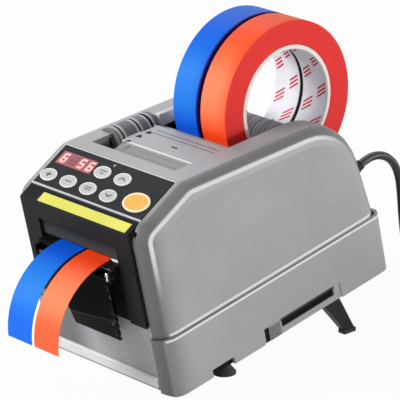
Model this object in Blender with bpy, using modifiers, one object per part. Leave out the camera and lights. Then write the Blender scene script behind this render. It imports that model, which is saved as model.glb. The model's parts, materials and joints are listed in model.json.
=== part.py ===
"""Electric tape dispenser for two rolls, standing nose-down on its unfolded rear legs.

Metres, +Z up, front facing -Y. The machine is drawn level in its own frame (x to the right, y to the
back, z up from the skirt's lower edge) and that frame is tipped forward on the feet by one empty.
"""
from math import atan2, cos, pi, radians, sin, sqrt, tan

import bmesh
import bpy
from mathutils import Matrix, Vector

# Clearances shared by the whole part
GAP = 0.0003            # between faces that touch on the real product
OVERRUN = 0.004         # how far a cutter runs past what it cuts
TINY = 0.00001          # merging and comparing
MILLIMETRE = 0.001

# Stance
TILT = radians(12.0)    # how far the machine leans forward on its legs
FOOT_DROP = 0.0116      # the front feet's soles below the skirt, at the feet
FOOT_Y = 0.056
FOOT_INSET = 0.014      # from the base's side to the middle of a front foot
FOOT_RADIUS = 0.0082
FOOT_NECK = 0.0045
FOOT_RIM = 0.0014

# Tapes side by side; the machine's width follows from them
TAPE_WIDTH = 0.025
TAPE_APART = 0.003
TAPE_CENTRE_X = 0.003
ROLLER_END = 0.0025     # the rollers stand past the tape by this much at each side
BAY_ROOM = 0.011        # from the rollers' right end to the bay's wall
POD_WIDTH = 0.027       # from the bay's wall to the base's side
BAY_HALF = TAPE_CENTRE_X + TAPE_WIDTH + TAPE_APART / 2 + ROLLER_END + BAY_ROOM

# Base tub
BASE_WIDTH = 2 * (BAY_HALF + POD_WIDTH)
BASE_LENGTH = 0.209
BASE_HEIGHT = 0.044
FRONT_CORNER = 0.0125
REAR_CORNER = 0.009
WALL = 0.0025
FLOOR_LIFT = 0.006      # the floor's underside above the skirt's edge
FLOOR = 0.0025
SKIRT_TOE = 0.004       # rounding of the skirt's lower front corners, seen from the side

# Upper housing
SHELL_STEP = 0.0016     # the housing stands in from the base by this much
SLOPE_RISE = 0.080      # from the base up to where the keypad plane meets the front plane
SLOPE_FOOT = BASE_HEIGHT + SLOPE_RISE
KEYPAD_SLOPE = radians(20.6)
RIDGE_Y = 0.048         # where the keypad plane meets the top plane
TOP_SLOPE = radians(6.0)
REAR_LEAN = radians(8.1)
RIM_ROUND = 0.013       # soft rounding along the side walls' rims
BEND_RADIUS = 0.0145
BACK_RADIUS = 0.050
RIM_STEPS = 5
ARC_STEP = radians(11.0)

# Roll bay between the side pods
BAY_FRONT = 0.058
REAR_WALL_RISE = 0.034  # the rear wall's top above the base
CHASSIS = 0.0025

# Front bezel, the black cover that swings up
FRONT_POST = 0.0137     # from the base's side to the front opening
BEZEL_SIDE = 0.0163     # from the front opening to the notch for the outlet
BEZEL_RISE = 0.0083     # the cover's lower edge above the base
FRONT_OPENING_HALF = BASE_WIDTH / 2 - FRONT_POST
BEZEL_NOTCH_HALF = FRONT_OPENING_HALF - BEZEL_SIDE
BEZEL_LOW = BASE_HEIGHT + BEZEL_RISE
BEZEL_PROUD = 0.001
BEZEL_WALL = 0.0021
OUTLET_DROP = 0.013     # the notch's top below the keypad plane's foot
OUTLET_TOP = SLOPE_FOOT - OUTLET_DROP
PIVOT_Y = 0.004
PIVOT_DROP = 0.0015
PIVOT_Z = SLOPE_FOOT - PIVOT_DROP
PIVOT_RADIUS = 0.0014
BEZEL_SWEEP = 0.0066    # radius of the bezel's rear edge about its pivot

# Tape line
STRIP_THICK = 0.0005
TABLE_RISE = 0.0526     # from the base up to the surfaces that the tape slides over
TABLE_Z = BASE_HEIGHT + TABLE_RISE
STRIP_RUN = 0.0076      # straight stretch from the blade to the sill's edge
STRIP_RADIUS = 0.0514
STRIP_TURN = radians(83.0)
STRIP_STEPS = 18

# Rolls
ROLL_Y = 0.1748
ROLL_RISE = 0.0909      # the rolls' axis above the base
ROLL_Z = BASE_HEIGHT + ROLL_RISE
ROLL_RADIUS = 0.0585
CORE_BORE = 0.0382
CORE_WALL = 0.0031
DRUM_RADIUS = 0.012
DRUM_SLACK = 0.0003
CRADLE_RADIUS = 0.007
CRADLE_FRONT_ANGLE = radians(-130.0)
CRADLE_REAR_ANGLE = radians(-74.0)
AXLE_RADIUS = 0.002
BORE_SLACK = 0.0003
DRUM_WAY_SHARES = (-0.6, -0.8)          # from the rolls' centre to the drum's, back and up
DRUM_RIBS = 9
DRUM_GROOVE = 0.0012
DRUM_LAND_SHARE = 0.6                   # of the pitch from rib to rib
DRUM_GROOVE_SHARES = (0.65, 0.95)
TRAY_CLEAR = 0.014      # from the rolls down to the tray's floor
TRAY_THICK = 0.002
LEDGE_SUNK = 0.0068     # the tray's front wall ends this far below the top plane

# Colours as red, green, blue in linear light
GREY = (0.36, 0.36, 0.37)
PALE_GREY = (0.78, 0.78, 0.78)
DARK = (0.05, 0.05, 0.055)
BLACK = (0.018, 0.018, 0.019)
TAPE_PAINTS = {"blue": (0.02, 0.19, 0.80), "orange": (1.0, 0.16, 0.05)}

PARTS = bpy.data.collections.new("tape_dispenser")
CUTTERS = bpy.data.collections.new("cutters")


def clear_scene():
    for obj in list(bpy.data.objects):
        bpy.data.objects.remove(obj, do_unlink=True)
    bpy.context.scene.collection.children.link(PARTS)
    bpy.context.scene.collection.children.link(CUTTERS)


def material(name, colour, roughness=0.5, metallic=0.0):
    found = bpy.data.materials.get(name)
    if found:
        return found
    made = bpy.data.materials.new(name)
    made.use_nodes = True
    shader = made.node_tree.nodes["Principled BSDF"]
    shader.inputs["Base Color"].default_value = (*colour, 1.0)
    shader.inputs["Roughness"].default_value = roughness
    shader.inputs["Metallic"].default_value = metallic
    made.diffuse_color = (*colour, 1.0)
    return made


def empty(name, parent=None, location=(0, 0, 0), tip=0.0):
    holder = bpy.data.objects.new(name, None)
    PARTS.objects.link(holder)
    holder.parent = parent
    holder.location = location
    holder.rotation_euler = (tip, 0.0, 0.0)
    return holder


# Frames: the stand is on the surface, the machine leans in it
STAND = None
MACHINE = None


def slope_point(u, v, n):
    """A place on the keypad plane: u across, v up the slope, n out of it, in the machine's frame."""
    return Vector((u, v * cos(KEYPAD_SLOPE) - n * sin(KEYPAD_SLOPE),
                   SLOPE_FOOT + v * sin(KEYPAD_SLOPE) + n * cos(KEYPAD_SLOPE)))


RIDGE_Z = SLOPE_FOOT + RIDGE_Y * tan(KEYPAD_SLOPE)


def top_point(u, v, n):
    """A place on the top plane: u across, v back from the ridge, n out of it."""
    return Vector((u, RIDGE_Y + v * cos(TOP_SLOPE) + n * sin(TOP_SLOPE),
                   RIDGE_Z - v * sin(TOP_SLOPE) + n * cos(TOP_SLOPE)))


def rear_y(z):
    return BASE_LENGTH - SHELL_STEP - tan(REAR_LEAN) * (z - BASE_HEIGHT)


def ground_z(y):
    """Height of the standing surface in the machine's own frame."""
    return -FOOT_DROP - tan(TILT) * (y - FOOT_Y)


# Mesh tools
def to_object(bm, name, mat, parent, location=(0, 0, 0), tip=0.0):
    bmesh.ops.recalc_face_normals(bm, faces=bm.faces)
    mesh = bpy.data.meshes.new(name)
    bm.to_mesh(mesh)
    bm.free()
    mesh.shade_smooth()
    mesh.set_sharp_from_angle(angle=radians(32.0))
    obj = bpy.data.objects.new(name, mesh)
    PARTS.objects.link(obj)
    if mat:
        mesh.materials.append(mat)
    obj.parent = parent
    obj.location = location
    obj.rotation_euler = (tip, 0.0, 0.0)
    return obj


def as_cutter(obj):
    PARTS.objects.unlink(obj)
    CUTTERS.objects.link(obj)
    obj.hide_render = True
    obj.display_type = "WIRE"
    return obj


def box_mesh(low, high):
    bm = bmesh.new()
    low = Vector(low)
    high = Vector(high)
    size = high - low
    middle = (low + high) / 2
    bmesh.ops.create_cube(bm, size=1.0, matrix=Matrix.Translation(middle) @ Matrix.Diagonal((*size, 1.0)))
    return bm


def rod_mesh(radius, start, end, segments=24, top_radius=None):
    """A round bar between two places."""
    bm = bmesh.new()
    start = Vector(start)
    end = Vector(end)
    way = end - start
    turn = Vector((0, 0, 1)).rotation_difference(way).to_matrix().to_4x4()
    bmesh.ops.create_cone(bm, cap_ends=True, segments=segments, radius1=radius,
                          radius2=radius if top_radius is None else top_radius, depth=way.length,
                          matrix=Matrix.Translation((start + end) / 2) @ turn)
    return bm


def prism_mesh(outline, low, high, axis):
    """A flat outline drawn square to an axis and pulled out along it."""
    index = "XYZ".index(axis)
    way = Vector([float(index == other) for other in range(3)])
    bm = bmesh.new()
    corners = [[a, b] for a, b in outline]
    for corner in corners:
        corner.insert(index, low)
    face = bm.faces.new([bm.verts.new(corner) for corner in corners])
    grown = bmesh.ops.extrude_face_region(bm, geom=[face])
    moved = [item for item in grown["geom"] if isinstance(item, bmesh.types.BMVert)]
    bmesh.ops.translate(bm, verts=moved, vec=way * (high - low))
    return bm


def rounded(corners, arc_step=ARC_STEP):
    """The points of an outline whose corners, given as (a, b, radius), are turned as arcs."""
    points = []
    for index, (a, b, radius) in enumerate(corners):
        here = Vector((a, b))
        if radius <= 0:
            points.append((a, b))
            continue
        before = (Vector(corners[index - 1][:2]) - here).normalized()
        after = (Vector(corners[(index + 1) % len(corners)][:2]) - here).normalized()
        half = before.angle(after) / 2
        centre = here + (before + after).normalized() * (radius / sin(half))
        first = here + before * (radius / tan(half)) - centre
        last = here + after * (radius / tan(half)) - centre
        begin = atan2(first.y, first.x)
        turn = (atan2(last.y, last.x) - begin + pi) % (2 * pi) - pi
        steps = max(2, round(abs(turn) / arc_step))
        for step in range(steps + 1):
            angle = begin + turn * step / steps
            points.append((centre.x + radius * cos(angle), centre.y + radius * sin(angle)))
    return points


def soften(bm, width, segments=1, chosen=None):
    """Break the sharp edges of a mesh."""
    edges = [edge for edge in bm.edges
             if (chosen(edge) if chosen else edge.calc_face_angle(0.0) > radians(50.0))]
    bmesh.ops.bevel(bm, geom=edges, offset=width, offset_type="OFFSET", segments=segments, profile=0.5,
                    affect="EDGES", clamp_overlap=True, material=-1)
    return bm


def turned(name, profile, mat, location, steps=48, tip=0.0, along_x=True):
    """A profile of (radius, height) points, outer side first from top to bottom, spun about one axis."""
    mesh = bpy.data.meshes.new(name)
    closed = profile[0][0] > TINY
    edges = [(i, i + 1) for i in range(len(profile) - 1)]
    if closed:
        edges.append((len(profile) - 1, 0))
    mesh.from_pydata([(radius, 0.0, height) for radius, height in profile], edges, [])
    obj = bpy.data.objects.new(name, mesh)
    PARTS.objects.link(obj)
    mesh.materials.append(mat)
    spin = obj.modifiers.new("spin", "SCREW")
    spin.axis = "Z"
    spin.angle = 2 * pi
    spin.steps = steps
    spin.render_steps = steps
    spin.use_merge_vertices = True
    spin.merge_threshold = TINY
    spin.use_smooth_shade = True
    obj.parent = MACHINE
    obj.location = location
    obj.rotation_euler = (tip, pi / 2 if along_x else 0.0, 0.0)
    return obj


def boolean(obj, other, how="DIFFERENCE"):
    modifier = obj.modifiers.new(how.lower(), "BOOLEAN")
    modifier.operation = how
    modifier.solver = "EXACT"
    modifier.object = as_cutter(other)


def cut_box(obj, name, low, high, location=(0, 0, 0), tip=0.0):
    boolean(obj, to_object(box_mesh(low, high), name, None, MACHINE, location, tip))


def cut_rod(obj, name, radius, start, end, segments=24, location=(0, 0, 0), tip=0.0):
    boolean(obj, to_object(rod_mesh(radius, start, end, segments), name, None, MACHINE, location, tip))


def join(obj, bm, name, location=(0, 0, 0), tip=0.0):
    boolean(obj, to_object(bm, name, None, MACHINE, location, tip), "UNION")


def both_sides():
    return (("left", -1.0), ("right", 1.0))


# Side profile
def side_outline(front_in, slope_in, top_in, rear_in, bottom):
    """The housing's outline seen from the side, each of its lines moved inwards by its own amount."""
    ways = [Vector((0.0, 1.0)), Vector((cos(KEYPAD_SLOPE), sin(KEYPAD_SLOPE))),
            Vector((cos(TOP_SLOPE), -sin(TOP_SLOPE))), Vector((sin(REAR_LEAN), -cos(REAR_LEAN)))]
    anchors = [Vector((SHELL_STEP, 0.0)), Vector((0.0, SLOPE_FOOT)), Vector((RIDGE_Y, RIDGE_Z)),
               Vector((BASE_LENGTH - SHELL_STEP, BASE_HEIGHT))]
    moved = [anchor + Vector((way.y, -way.x)) * inset
             for anchor, way, inset in zip(anchors, ways, (front_in, slope_in, top_in, rear_in))]

    def meet(i, j):
        cross = ways[i].x * ways[j].y - ways[i].y * ways[j].x
        apart = moved[j] - moved[i]
        return moved[i] + ways[i] * ((apart.x * ways[j].y - apart.y * ways[j].x) / cross)

    brow, ridge, shoulder = meet(0, 1), meet(1, 2), meet(2, 3)
    heel = moved[3] + ways[3] * ((moved[3].y - bottom) / -ways[3].y)
    return rounded([(moved[0].x, bottom, 0.0), (brow.x, brow.y, BEND_RADIUS - min(front_in, slope_in)),
                    (ridge.x, ridge.y, BEND_RADIUS - top_in),
                    (shoulder.x, shoulder.y, BACK_RADIUS - top_in),
                    (heel.x, heel.y, 0.0)])


def pod_mesh(inset, bottom, rim_steps=RIM_STEPS):
    """The housing's volume, inset evenly, with its side rims rounded."""
    half = BASE_WIDTH / 2 - SHELL_STEP - inset
    bm = prism_mesh(side_outline(inset, inset, inset, inset, bottom), -half, half, "X")

    def on_rim(edge):
        one, two = edge.verts
        level = abs(one.co.x - two.co.x) < TINY
        low = max(one.co.z, two.co.z) < bottom + TINY
        return level and not low

    return soften(bm, RIM_ROUND - inset, rim_steps, on_rim)


# Keypad layout on the sloping plane, all in its own u and v
OVERLAY_MARGIN = 0.014
OVERLAY_HALF = BASE_WIDTH / 2 - OVERLAY_MARGIN
OVERLAY_LOW = 0.0134
OVERLAY_HIGH = 0.0486
OVERLAY_THICK = 0.0007
OVERLAY_SUNK = 0.0004
POCKET_DEPTH = 0.0007
KEY_RADIUS = 0.0066
START_RADIUS = 0.0102
KEY_PROUD = 0.0011
KEY_DEPTH = 0.0035
KEY_SIDES = 24
KEY_PITCH = 0.0208
KEY_LOW_V = 0.0219
KEY_HIGH_V = 0.0374
KEY_INSET = 0.0084      # from the membrane's left edge to the first key
START_INSET = 0.0147
FIRST_KEY_U = KEY_INSET - OVERLAY_HALF
START_U = OVERLAY_HALF - START_INSET
START_V = 0.0244
WINDOW_INSET = 0.0037
WINDOW_WIDTH = 0.0361
WINDOW_U = (WINDOW_INSET - OVERLAY_HALF, WINDOW_INSET + WINDOW_WIDTH - OVERLAY_HALF)
WINDOW_V = (0.0328, 0.0440)
WINDOW_DEPTH = 0.0012
LED_ASIDE = 0.0042      # right of the fifth key
LED_U = FIRST_KEY_U + 2 * KEY_PITCH + LED_ASIDE
LED_V = 0.0457
LED_RADIUS = 0.0012
BOARD_TOP = 0.0048
BOARD_THICK = 0.0016
BOARD_ROOM = BOARD_TOP + BOARD_THICK + GAP   # depth kept free under the keypad
LABEL_INSETS = (0.0175, 0.0035)
LABEL_U = (LABEL_INSETS[0] - OVERLAY_HALF, OVERLAY_HALF - LABEL_INSETS[1])
LABEL_V = (0.0002, 0.0081)
LABEL_LIFT = 0.0001
LABEL_THICK = 0.0003

KEYS = ([(f"key_{i + 1}", FIRST_KEY_U + i * KEY_PITCH, KEY_LOW_V, KEY_RADIUS) for i in range(4)]
        + [(f"key_{i + 5}", FIRST_KEY_U + (i + 2) * KEY_PITCH, KEY_HIGH_V, KEY_RADIUS) for i in range(2)]
        + [("key_start", START_U, START_V, START_RADIUS)])

# Lid over the feed rollers, hinged on the left
LID_AXIS_ASIDE = 0.003  # outside the bay's left wall
LID_AXIS_U = -BAY_HALF - LID_AXIS_ASIDE
LID_AXIS_N = -0.008
LID_AXIS_V = 0.047
BARREL_RADIUS = 0.011
BARREL_SLACK = 0.0006
HINGE_PIN_RADIUS = 0.002
KNUCKLE_SPLITS = (0.028, 0.033, 0.048, 0.059, 0.066)
LID_RIGHT_GAP = 0.0006
LID_LEFT_GAP = 0.0009
LID_LEFT = LID_AXIS_U + BARREL_RADIUS + LID_LEFT_GAP
LID_FRONT_V = 0.011
LID_STEP_V = 0.0285
LID_REAR_V = 0.062
LID_SUNK = 0.0032
LID_WALL = 0.0024
LID_APRON = 0.0095
LID_STEP_RISE = 0.0023
BRACKET_LOW_N = -0.0235
BRACKET_HALF = 0.0066
LUG = 0.003             # thickness of the lugs that carry the pressure roller
LUG_HALF = 0.0055
LUG_ROUND_SHARE = 0.9   # of the lug's half width

# Feed train
FEED_Y = 0.075
FEED_RADIUS = 0.010
PRESS_RADIUS = 0.009
NIP = 0.0004
GEAR_MODULE = 0.0013
FEED_TEETH = 24
PINION_TEETH = 12
GEAR_ASIDE = 0.0025     # outside the chassis wall
GEAR_X = BAY_HALF + CHASSIS + GEAR_ASIDE
GEAR_WIDTH = 0.005
# one tooth: shares of the pitch round the wheel, and of the module out of the pitch circle
TOOTH_SHARES = ((-0.365, -1.25), (-0.10, 0.95), (0.10, 0.95), (0.365, -1.25))
MOTOR_ANGLE = radians(-50.0)
MOTOR_RADIUS = 0.012
MOTOR_LENGTH = 0.058
SHAFT_RADIUS = 0.0025

# Cutter
BLADE_Y = 0.0032
BLADE_THICK = 0.002
BLADE_LIFT = 0.0014
BLADE_TALL = 0.012
BLADE_SHEAR = 0.0015
RACK_MODULE = 0.001
RACK_PINION_TEETH = 12
RACK_INSET = 0.0067     # from the panel's side to the rack's inner face
RACK_WIDTH = 0.005
RACK_DROP = 0.011       # the rack's lower end below the pinion's axis
RACK_TEETH = 7
CUTTER_Y = 0.017
CUTTER_DROP = 0.0266    # the pinion's axis below the tape's table
CUTTER_Z = TABLE_Z - CUTTER_DROP
CUTTER_MOTOR_RADIUS = 0.011
GUIDE_THICK = 0.0022
GUIDE_FRONT = 0.0135

# Outlet panel with its sill, and the flap on it
PANEL_HALF = BEZEL_NOTCH_HALF - GAP
RACK_X = (PANEL_HALF - RACK_INSET, PANEL_HALF - RACK_INSET + RACK_WIDTH)
PANEL_THICK = 0.0019
SILL_THICK = 0.003
SILL_REACH = 0.005
FLAP_PIN_Y = -0.0075
FLAP_PIN_DROP = 0.007   # below the tape's table
FLAP_PIN_Z = TABLE_Z - FLAP_PIN_DROP
FLAP_PIN_RADIUS = 0.0014
FLAP_KNUCKLE = 0.0029
FLAP_THICK = 0.0018
FLAP_TALL = 0.0486      # from the pin to the flap's lower edge
FLAP_INSETS = (0.0087, 0.0277, 0.0049)  # from the panel's sides: left at the top, left below, right
FLAP_LEFT_TOP = FLAP_INSETS[0] - PANEL_HALF
FLAP_LEFT_LOW = FLAP_INSETS[1] - PANEL_HALF
FLAP_RIGHT = PANEL_HALF - FLAP_INSETS[2]
FLAP_TEETH = 9
FLAP_TOOTH = 0.0011
EAR = 0.0024
HOOD_LIFT = 0.0022      # from the tape's table to the hood's lower edge

# Lower front
LIP_TOP = 0.0131
LIP_LOW = 0.0045
LIP_DEPTH = 0.0040
LIP_PROUD = 0.0008
RIB_FACE_Y = 0.0016
RIB_PANEL_THICK = 0.0022
RIB_PITCH = 0.0025
RIB_DEPTH = 0.0006
RIB_TOP_GAP = 0.0004
RIB_TOP = BEZEL_LOW - RIB_TOP_GAP
RIB_SHARES = ((0.20, 0.0), (0.35, 1.0), (0.65, 1.0), (0.80, 0.0))   # of the pitch and of the depth

# Legs
LEG_INSET = 0.0075      # from the base's side to the leg
LEG_THICK = 0.0065
LEG_X = (BASE_WIDTH / 2 - LEG_INSET - LEG_THICK, BASE_WIDTH / 2 - LEG_INSET)
LEG_PIVOT_Y = 0.151
LEG_PIVOT_Z = 0.0065
LEG_FOOT_Y = 0.1675
LEG_TOP_HALF = 0.0085
LEG_FOOT_HALF = 0.0045
LEG_PIN_RADIUS = 0.0022
PAD_THICK = 0.003
PAD_LENGTH = 0.011
POCKET_SKIN = 0.0028    # the base's wall outside a pocket
POCKET_ASIDE = 0.0012
POCKET_X = (LEG_X[0] - POCKET_ASIDE, BASE_WIDTH / 2 - POCKET_SKIN)
POCKET_Y = (0.0890, 0.1635)
POCKET_TOP = 0.0165
POCKET_WALL = 0.002
SLOT_Y = (0.103, 0.1535)
SLOT_Z = (0.0045, 0.0098)
RECESS_Y = (0.0850, 0.1600)
RECESS_TOP = 0.0122
RECESS_DEPTH = 0.0011
CATCH_Y = (0.0905, 0.1015)
CATCH_GROOVE = 0.0014
NOTCH_Y = (0.0360, 0.0562)
NOTCH_TOP = 0.0055

# Mains side
CORD_DIAMETER = 0.006
RELIEF_INSET = 0.0194   # from the base's side
RELIEF_X = BASE_WIDTH / 2 - RELIEF_INSET
RELIEF_RISE = 0.0295    # above the base
RELIEF_Z = BASE_HEIGHT + RELIEF_RISE
RELIEF_NECK = 0.0046
RELIEF_TIP = 0.0035
RELIEF_FLANGE = 0.0062
RELIEF_FLANGE_THICK = 0.002
RELIEF_OUT = 0.010      # from the rear wall to the sleeve's outer end
RELIEF_IN = 0.012
SWITCH_X = -0.022
SWITCH_RISE = 0.0095    # above the base
SWITCH_Z = BASE_HEIGHT + SWITCH_RISE
SWITCH_HALF = (0.0105, 0.0075)
SWITCH_RIM = 0.0018
SWITCH_DEPTH = 0.012
WELL_ROOM = 0.0066      # free depth behind the rocker
ROCKER_HALF = (0.0082, 0.0052)
ROCKER_REAR = -0.0035
ROCKER_NOSE = 0.0022
ROCKER_SWING = 0.0012   # the rocker is shorter than its well by this much at each end
CORD_SPACING = 0.012    # between the points of the free stretch
CURVE_STEPS = 12
COIL_CENTRE = (0.1000, 0.220)
COIL_MEAN = 0.0355      # radius of the coil's middle turn
COIL_LAYER_TURNS = 3
COIL_CLIMB_TURNS = 0.5
COIL_GAP = 0.0005       # between neighbouring turns
COIL_DIP = 0.00085      # how far the climb to the upper layer draws inwards
COIL_LOOP_POINTS = 24
TIE_WALL = 0.0008
TIE_HALF = 0.0025
TIE_SLACK = 0.0004
PLUG_NOSE = 0.025
PLUG_NOSE_RADIUS = 0.0036
PLUG_ROOT_RADIUS = 0.0050
PLUG_LENGTH = 0.038
PLUG_HALF_WIDTH = 0.0115
PLUG_EDGE = 0.003
BLADE_PIN = (0.0016, 0.0063, 0.0170)    # thickness, width and length of each flat pin
BLADE_PIN_APART = 0.0127
GROUND_PIN_RADIUS = 0.0024
GROUND_PIN_DROP = 0.0050
SUPPLY_X = (-0.036, 0.006)
SUPPLY_Y = (0.040, 0.084)
SUPPLY_TALL = 0.036


def body_plan(inset):
    """The base's outline seen from above, inset evenly."""
    half = BASE_WIDTH / 2 - inset
    front = FRONT_CORNER - inset
    rear = REAR_CORNER - inset
    return rounded([(-half, inset, front), (half, inset, front),
                    (half, BASE_LENGTH - inset, rear), (-half, BASE_LENGTH - inset, rear)])


def build_base():
    grey = material("housing_grey", GREY, 0.45)
    tub = to_object(prism_mesh(body_plan(0.0), 0.0, BASE_HEIGHT, "Z"), "base_tub", grey, MACHINE)
    inside = prism_mesh(body_plan(WALL), FLOOR_LIFT + FLOOR, BASE_HEIGHT + OVERRUN, "Z")
    boolean(tub, to_object(inside, "tub_inside", None, MACHINE))
    under = prism_mesh(body_plan(WALL), -OVERRUN, FLOOR_LIFT, "Z")
    boolean(tub, to_object(under, "skirt_inside", None, MACHINE))
    opening = FRONT_OPENING_HALF
    cut_box(tub, "front_opening", (-opening, -OVERRUN, -OVERRUN),
            (opening, RIB_FACE_Y + RIB_PANEL_THICK + WALL, BASE_HEIGHT + OVERRUN))
    toe = rounded([(-OVERRUN, -OVERRUN, 0), (SKIRT_TOE, -OVERRUN, 0), (SKIRT_TOE, 0.0, 0),
                   (0.0, SKIRT_TOE / 2, 0), (-OVERRUN, SKIRT_TOE / 2, 0)])
    boolean(tub, to_object(prism_mesh(toe, -BASE_WIDTH, BASE_WIDTH, "X"), "toe_cut", None, MACHINE))
    for side, way in both_sides():
        build_leg_pocket(tub, side, way)


def side_box(x, y, z, way):
    """A box's corners with its x range taken on the left or the right side."""
    across = sorted((way * x[0], way * x[1]))
    return (across[0], y[0], z[0]), (across[1], y[1], z[1])


def build_leg_pocket(tub, side, way):
    outer_x = (POCKET_X[0] - POCKET_WALL, BASE_WIDTH / 2 - WALL / 2)
    outer_y = (POCKET_Y[0] - POCKET_WALL, POCKET_Y[1] + POCKET_WALL)
    low, high = side_box(outer_x, outer_y, (FLOOR_LIFT + FLOOR / 2, POCKET_TOP + POCKET_WALL), way)
    join(tub, box_mesh(low, high), f"pocket_walls_{side}")
    low, high = side_box(POCKET_X, POCKET_Y, (-OVERRUN, POCKET_TOP), way)
    cut_box(tub, f"pocket_{side}", low, high)
    out = BASE_WIDTH / 2 + OVERRUN
    recess = (BASE_WIDTH / 2 - RECESS_DEPTH, out)
    for name, y, z, depth in (
            ("recess", RECESS_Y, (-OVERRUN, RECESS_TOP), recess),
            ("slot", SLOT_Y, SLOT_Z, (POCKET_X[1] - OVERRUN, out)),
            ("foot_notch", NOTCH_Y, (-OVERRUN, NOTCH_TOP), (BASE_WIDTH / 2 - WALL - OVERRUN, out))):
        low, high = side_box(depth, y, z, way)
        cut_box(tub, f"{name}_{side}", low, high)
    catch_x = (BASE_WIDTH / 2 - RECESS_DEPTH * 1.5, BASE_WIDTH / 2 - GAP)
    low, high = side_box(catch_x, CATCH_Y, (GAP, RECESS_TOP - CATCH_GROOVE), way)
    join(tub, box_mesh(low, high), f"catch_{side}")


def build_housing():
    grey = material("housing_grey", GREY, 0.45)
    bottom = BASE_HEIGHT + GAP
    shell = to_object(pod_mesh(0.0, bottom), "upper_housing", grey, MACHINE)
    inside = pod_mesh(WALL, bottom - OVERRUN, RIM_STEPS // 2)
    boolean(shell, to_object(inside, "housing_inside", None, MACHINE))
    opening = FRONT_OPENING_HALF
    cut_box(shell, "bezel_opening", (-opening, -OVERRUN, 0.0),
            (opening, SHELL_STEP + WALL + OVERRUN / 4, SLOPE_FOOT + BEND_RADIUS))
    sweep = BEZEL_SWEEP + GAP
    cut_rod(shell, "bezel_sweep", sweep, (-opening, PIVOT_Y, PIVOT_Z), (opening, PIVOT_Y, PIVOT_Z), 48)
    hole = PIVOT_RADIUS + GAP
    for side, way in both_sides():
        cut_rod(shell, f"pivot_hole_{side}", hole, (way * (opening - OVERRUN), PIVOT_Y, PIVOT_Z),
                (way * (opening + 2 * PIVOT_RADIUS), PIVOT_Y, PIVOT_Z), 16)
    cut_keypad_openings(shell)
    cut_box(shell, "bay", (-BAY_HALF, BAY_FRONT, BASE_HEIGHT + REAR_WALL_RISE),
            (BAY_HALF, BASE_LENGTH + OVERRUN, RIDGE_Z + BEND_RADIUS))
    axis_low = top_point(LID_AXIS_U, KNUCKLE_SPLITS[0] - GAP, LID_AXIS_N)
    axis_high = top_point(LID_AXIS_U, KNUCKLE_SPLITS[-1] + GAP, LID_AXIS_N)
    cut_rod(shell, "barrel_notch", BARREL_RADIUS + BARREL_SLACK, axis_low, axis_high, 40)
    cut_rear_openings(shell)


def cut_keypad_openings(shell):
    here = slope_point(0.0, 0.0, 0.0)
    edge = GAP
    cut_box(shell, "overlay_pocket", (-OVERLAY_HALF - edge, OVERLAY_LOW - edge, -POCKET_DEPTH),
            (OVERLAY_HALF + edge, OVERLAY_HIGH + edge, OVERRUN), here, KEYPAD_SLOPE)
    for name, u, v, radius in KEYS:
        cut_rod(shell, f"{name}_hole", radius + GAP, (u, v, -WALL - OVERRUN), (u, v, OVERRUN), KEY_SIDES,
                here, KEYPAD_SLOPE)
    cut_rod(shell, "led_hole", LED_RADIUS + GAP, (LED_U, LED_V, -WALL - OVERRUN), (LED_U, LED_V, OVERRUN), 12,
            here, KEYPAD_SLOPE)
    cut_box(shell, "window_hole", (WINDOW_U[0] - edge, WINDOW_V[0] - edge, -WALL - OVERRUN),
            (WINDOW_U[1] + edge, WINDOW_V[1] + edge, OVERRUN), here, KEYPAD_SLOPE)


def rear_point(x, z):
    """A place on the housing's rear face, in the machine's frame."""
    return Vector((x, rear_y(z), z))


def cut_rear_openings(shell):
    cut_rod(shell, "relief_hole", RELIEF_NECK + GAP, (0, -WALL - OVERRUN, 0), (0, OVERRUN, 0), 32,
            rear_point(RELIEF_X, RELIEF_Z), REAR_LEAN)
    wide, tall = ROCKER_HALF[0] + SWITCH_RIM / 2, ROCKER_HALF[1] + SWITCH_RIM / 2
    cut_box(shell, "switch_hole", (-wide, -WALL - OVERRUN, -tall), (wide, OVERRUN, tall),
            rear_point(SWITCH_X, SWITCH_Z), REAR_LEAN)


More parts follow.
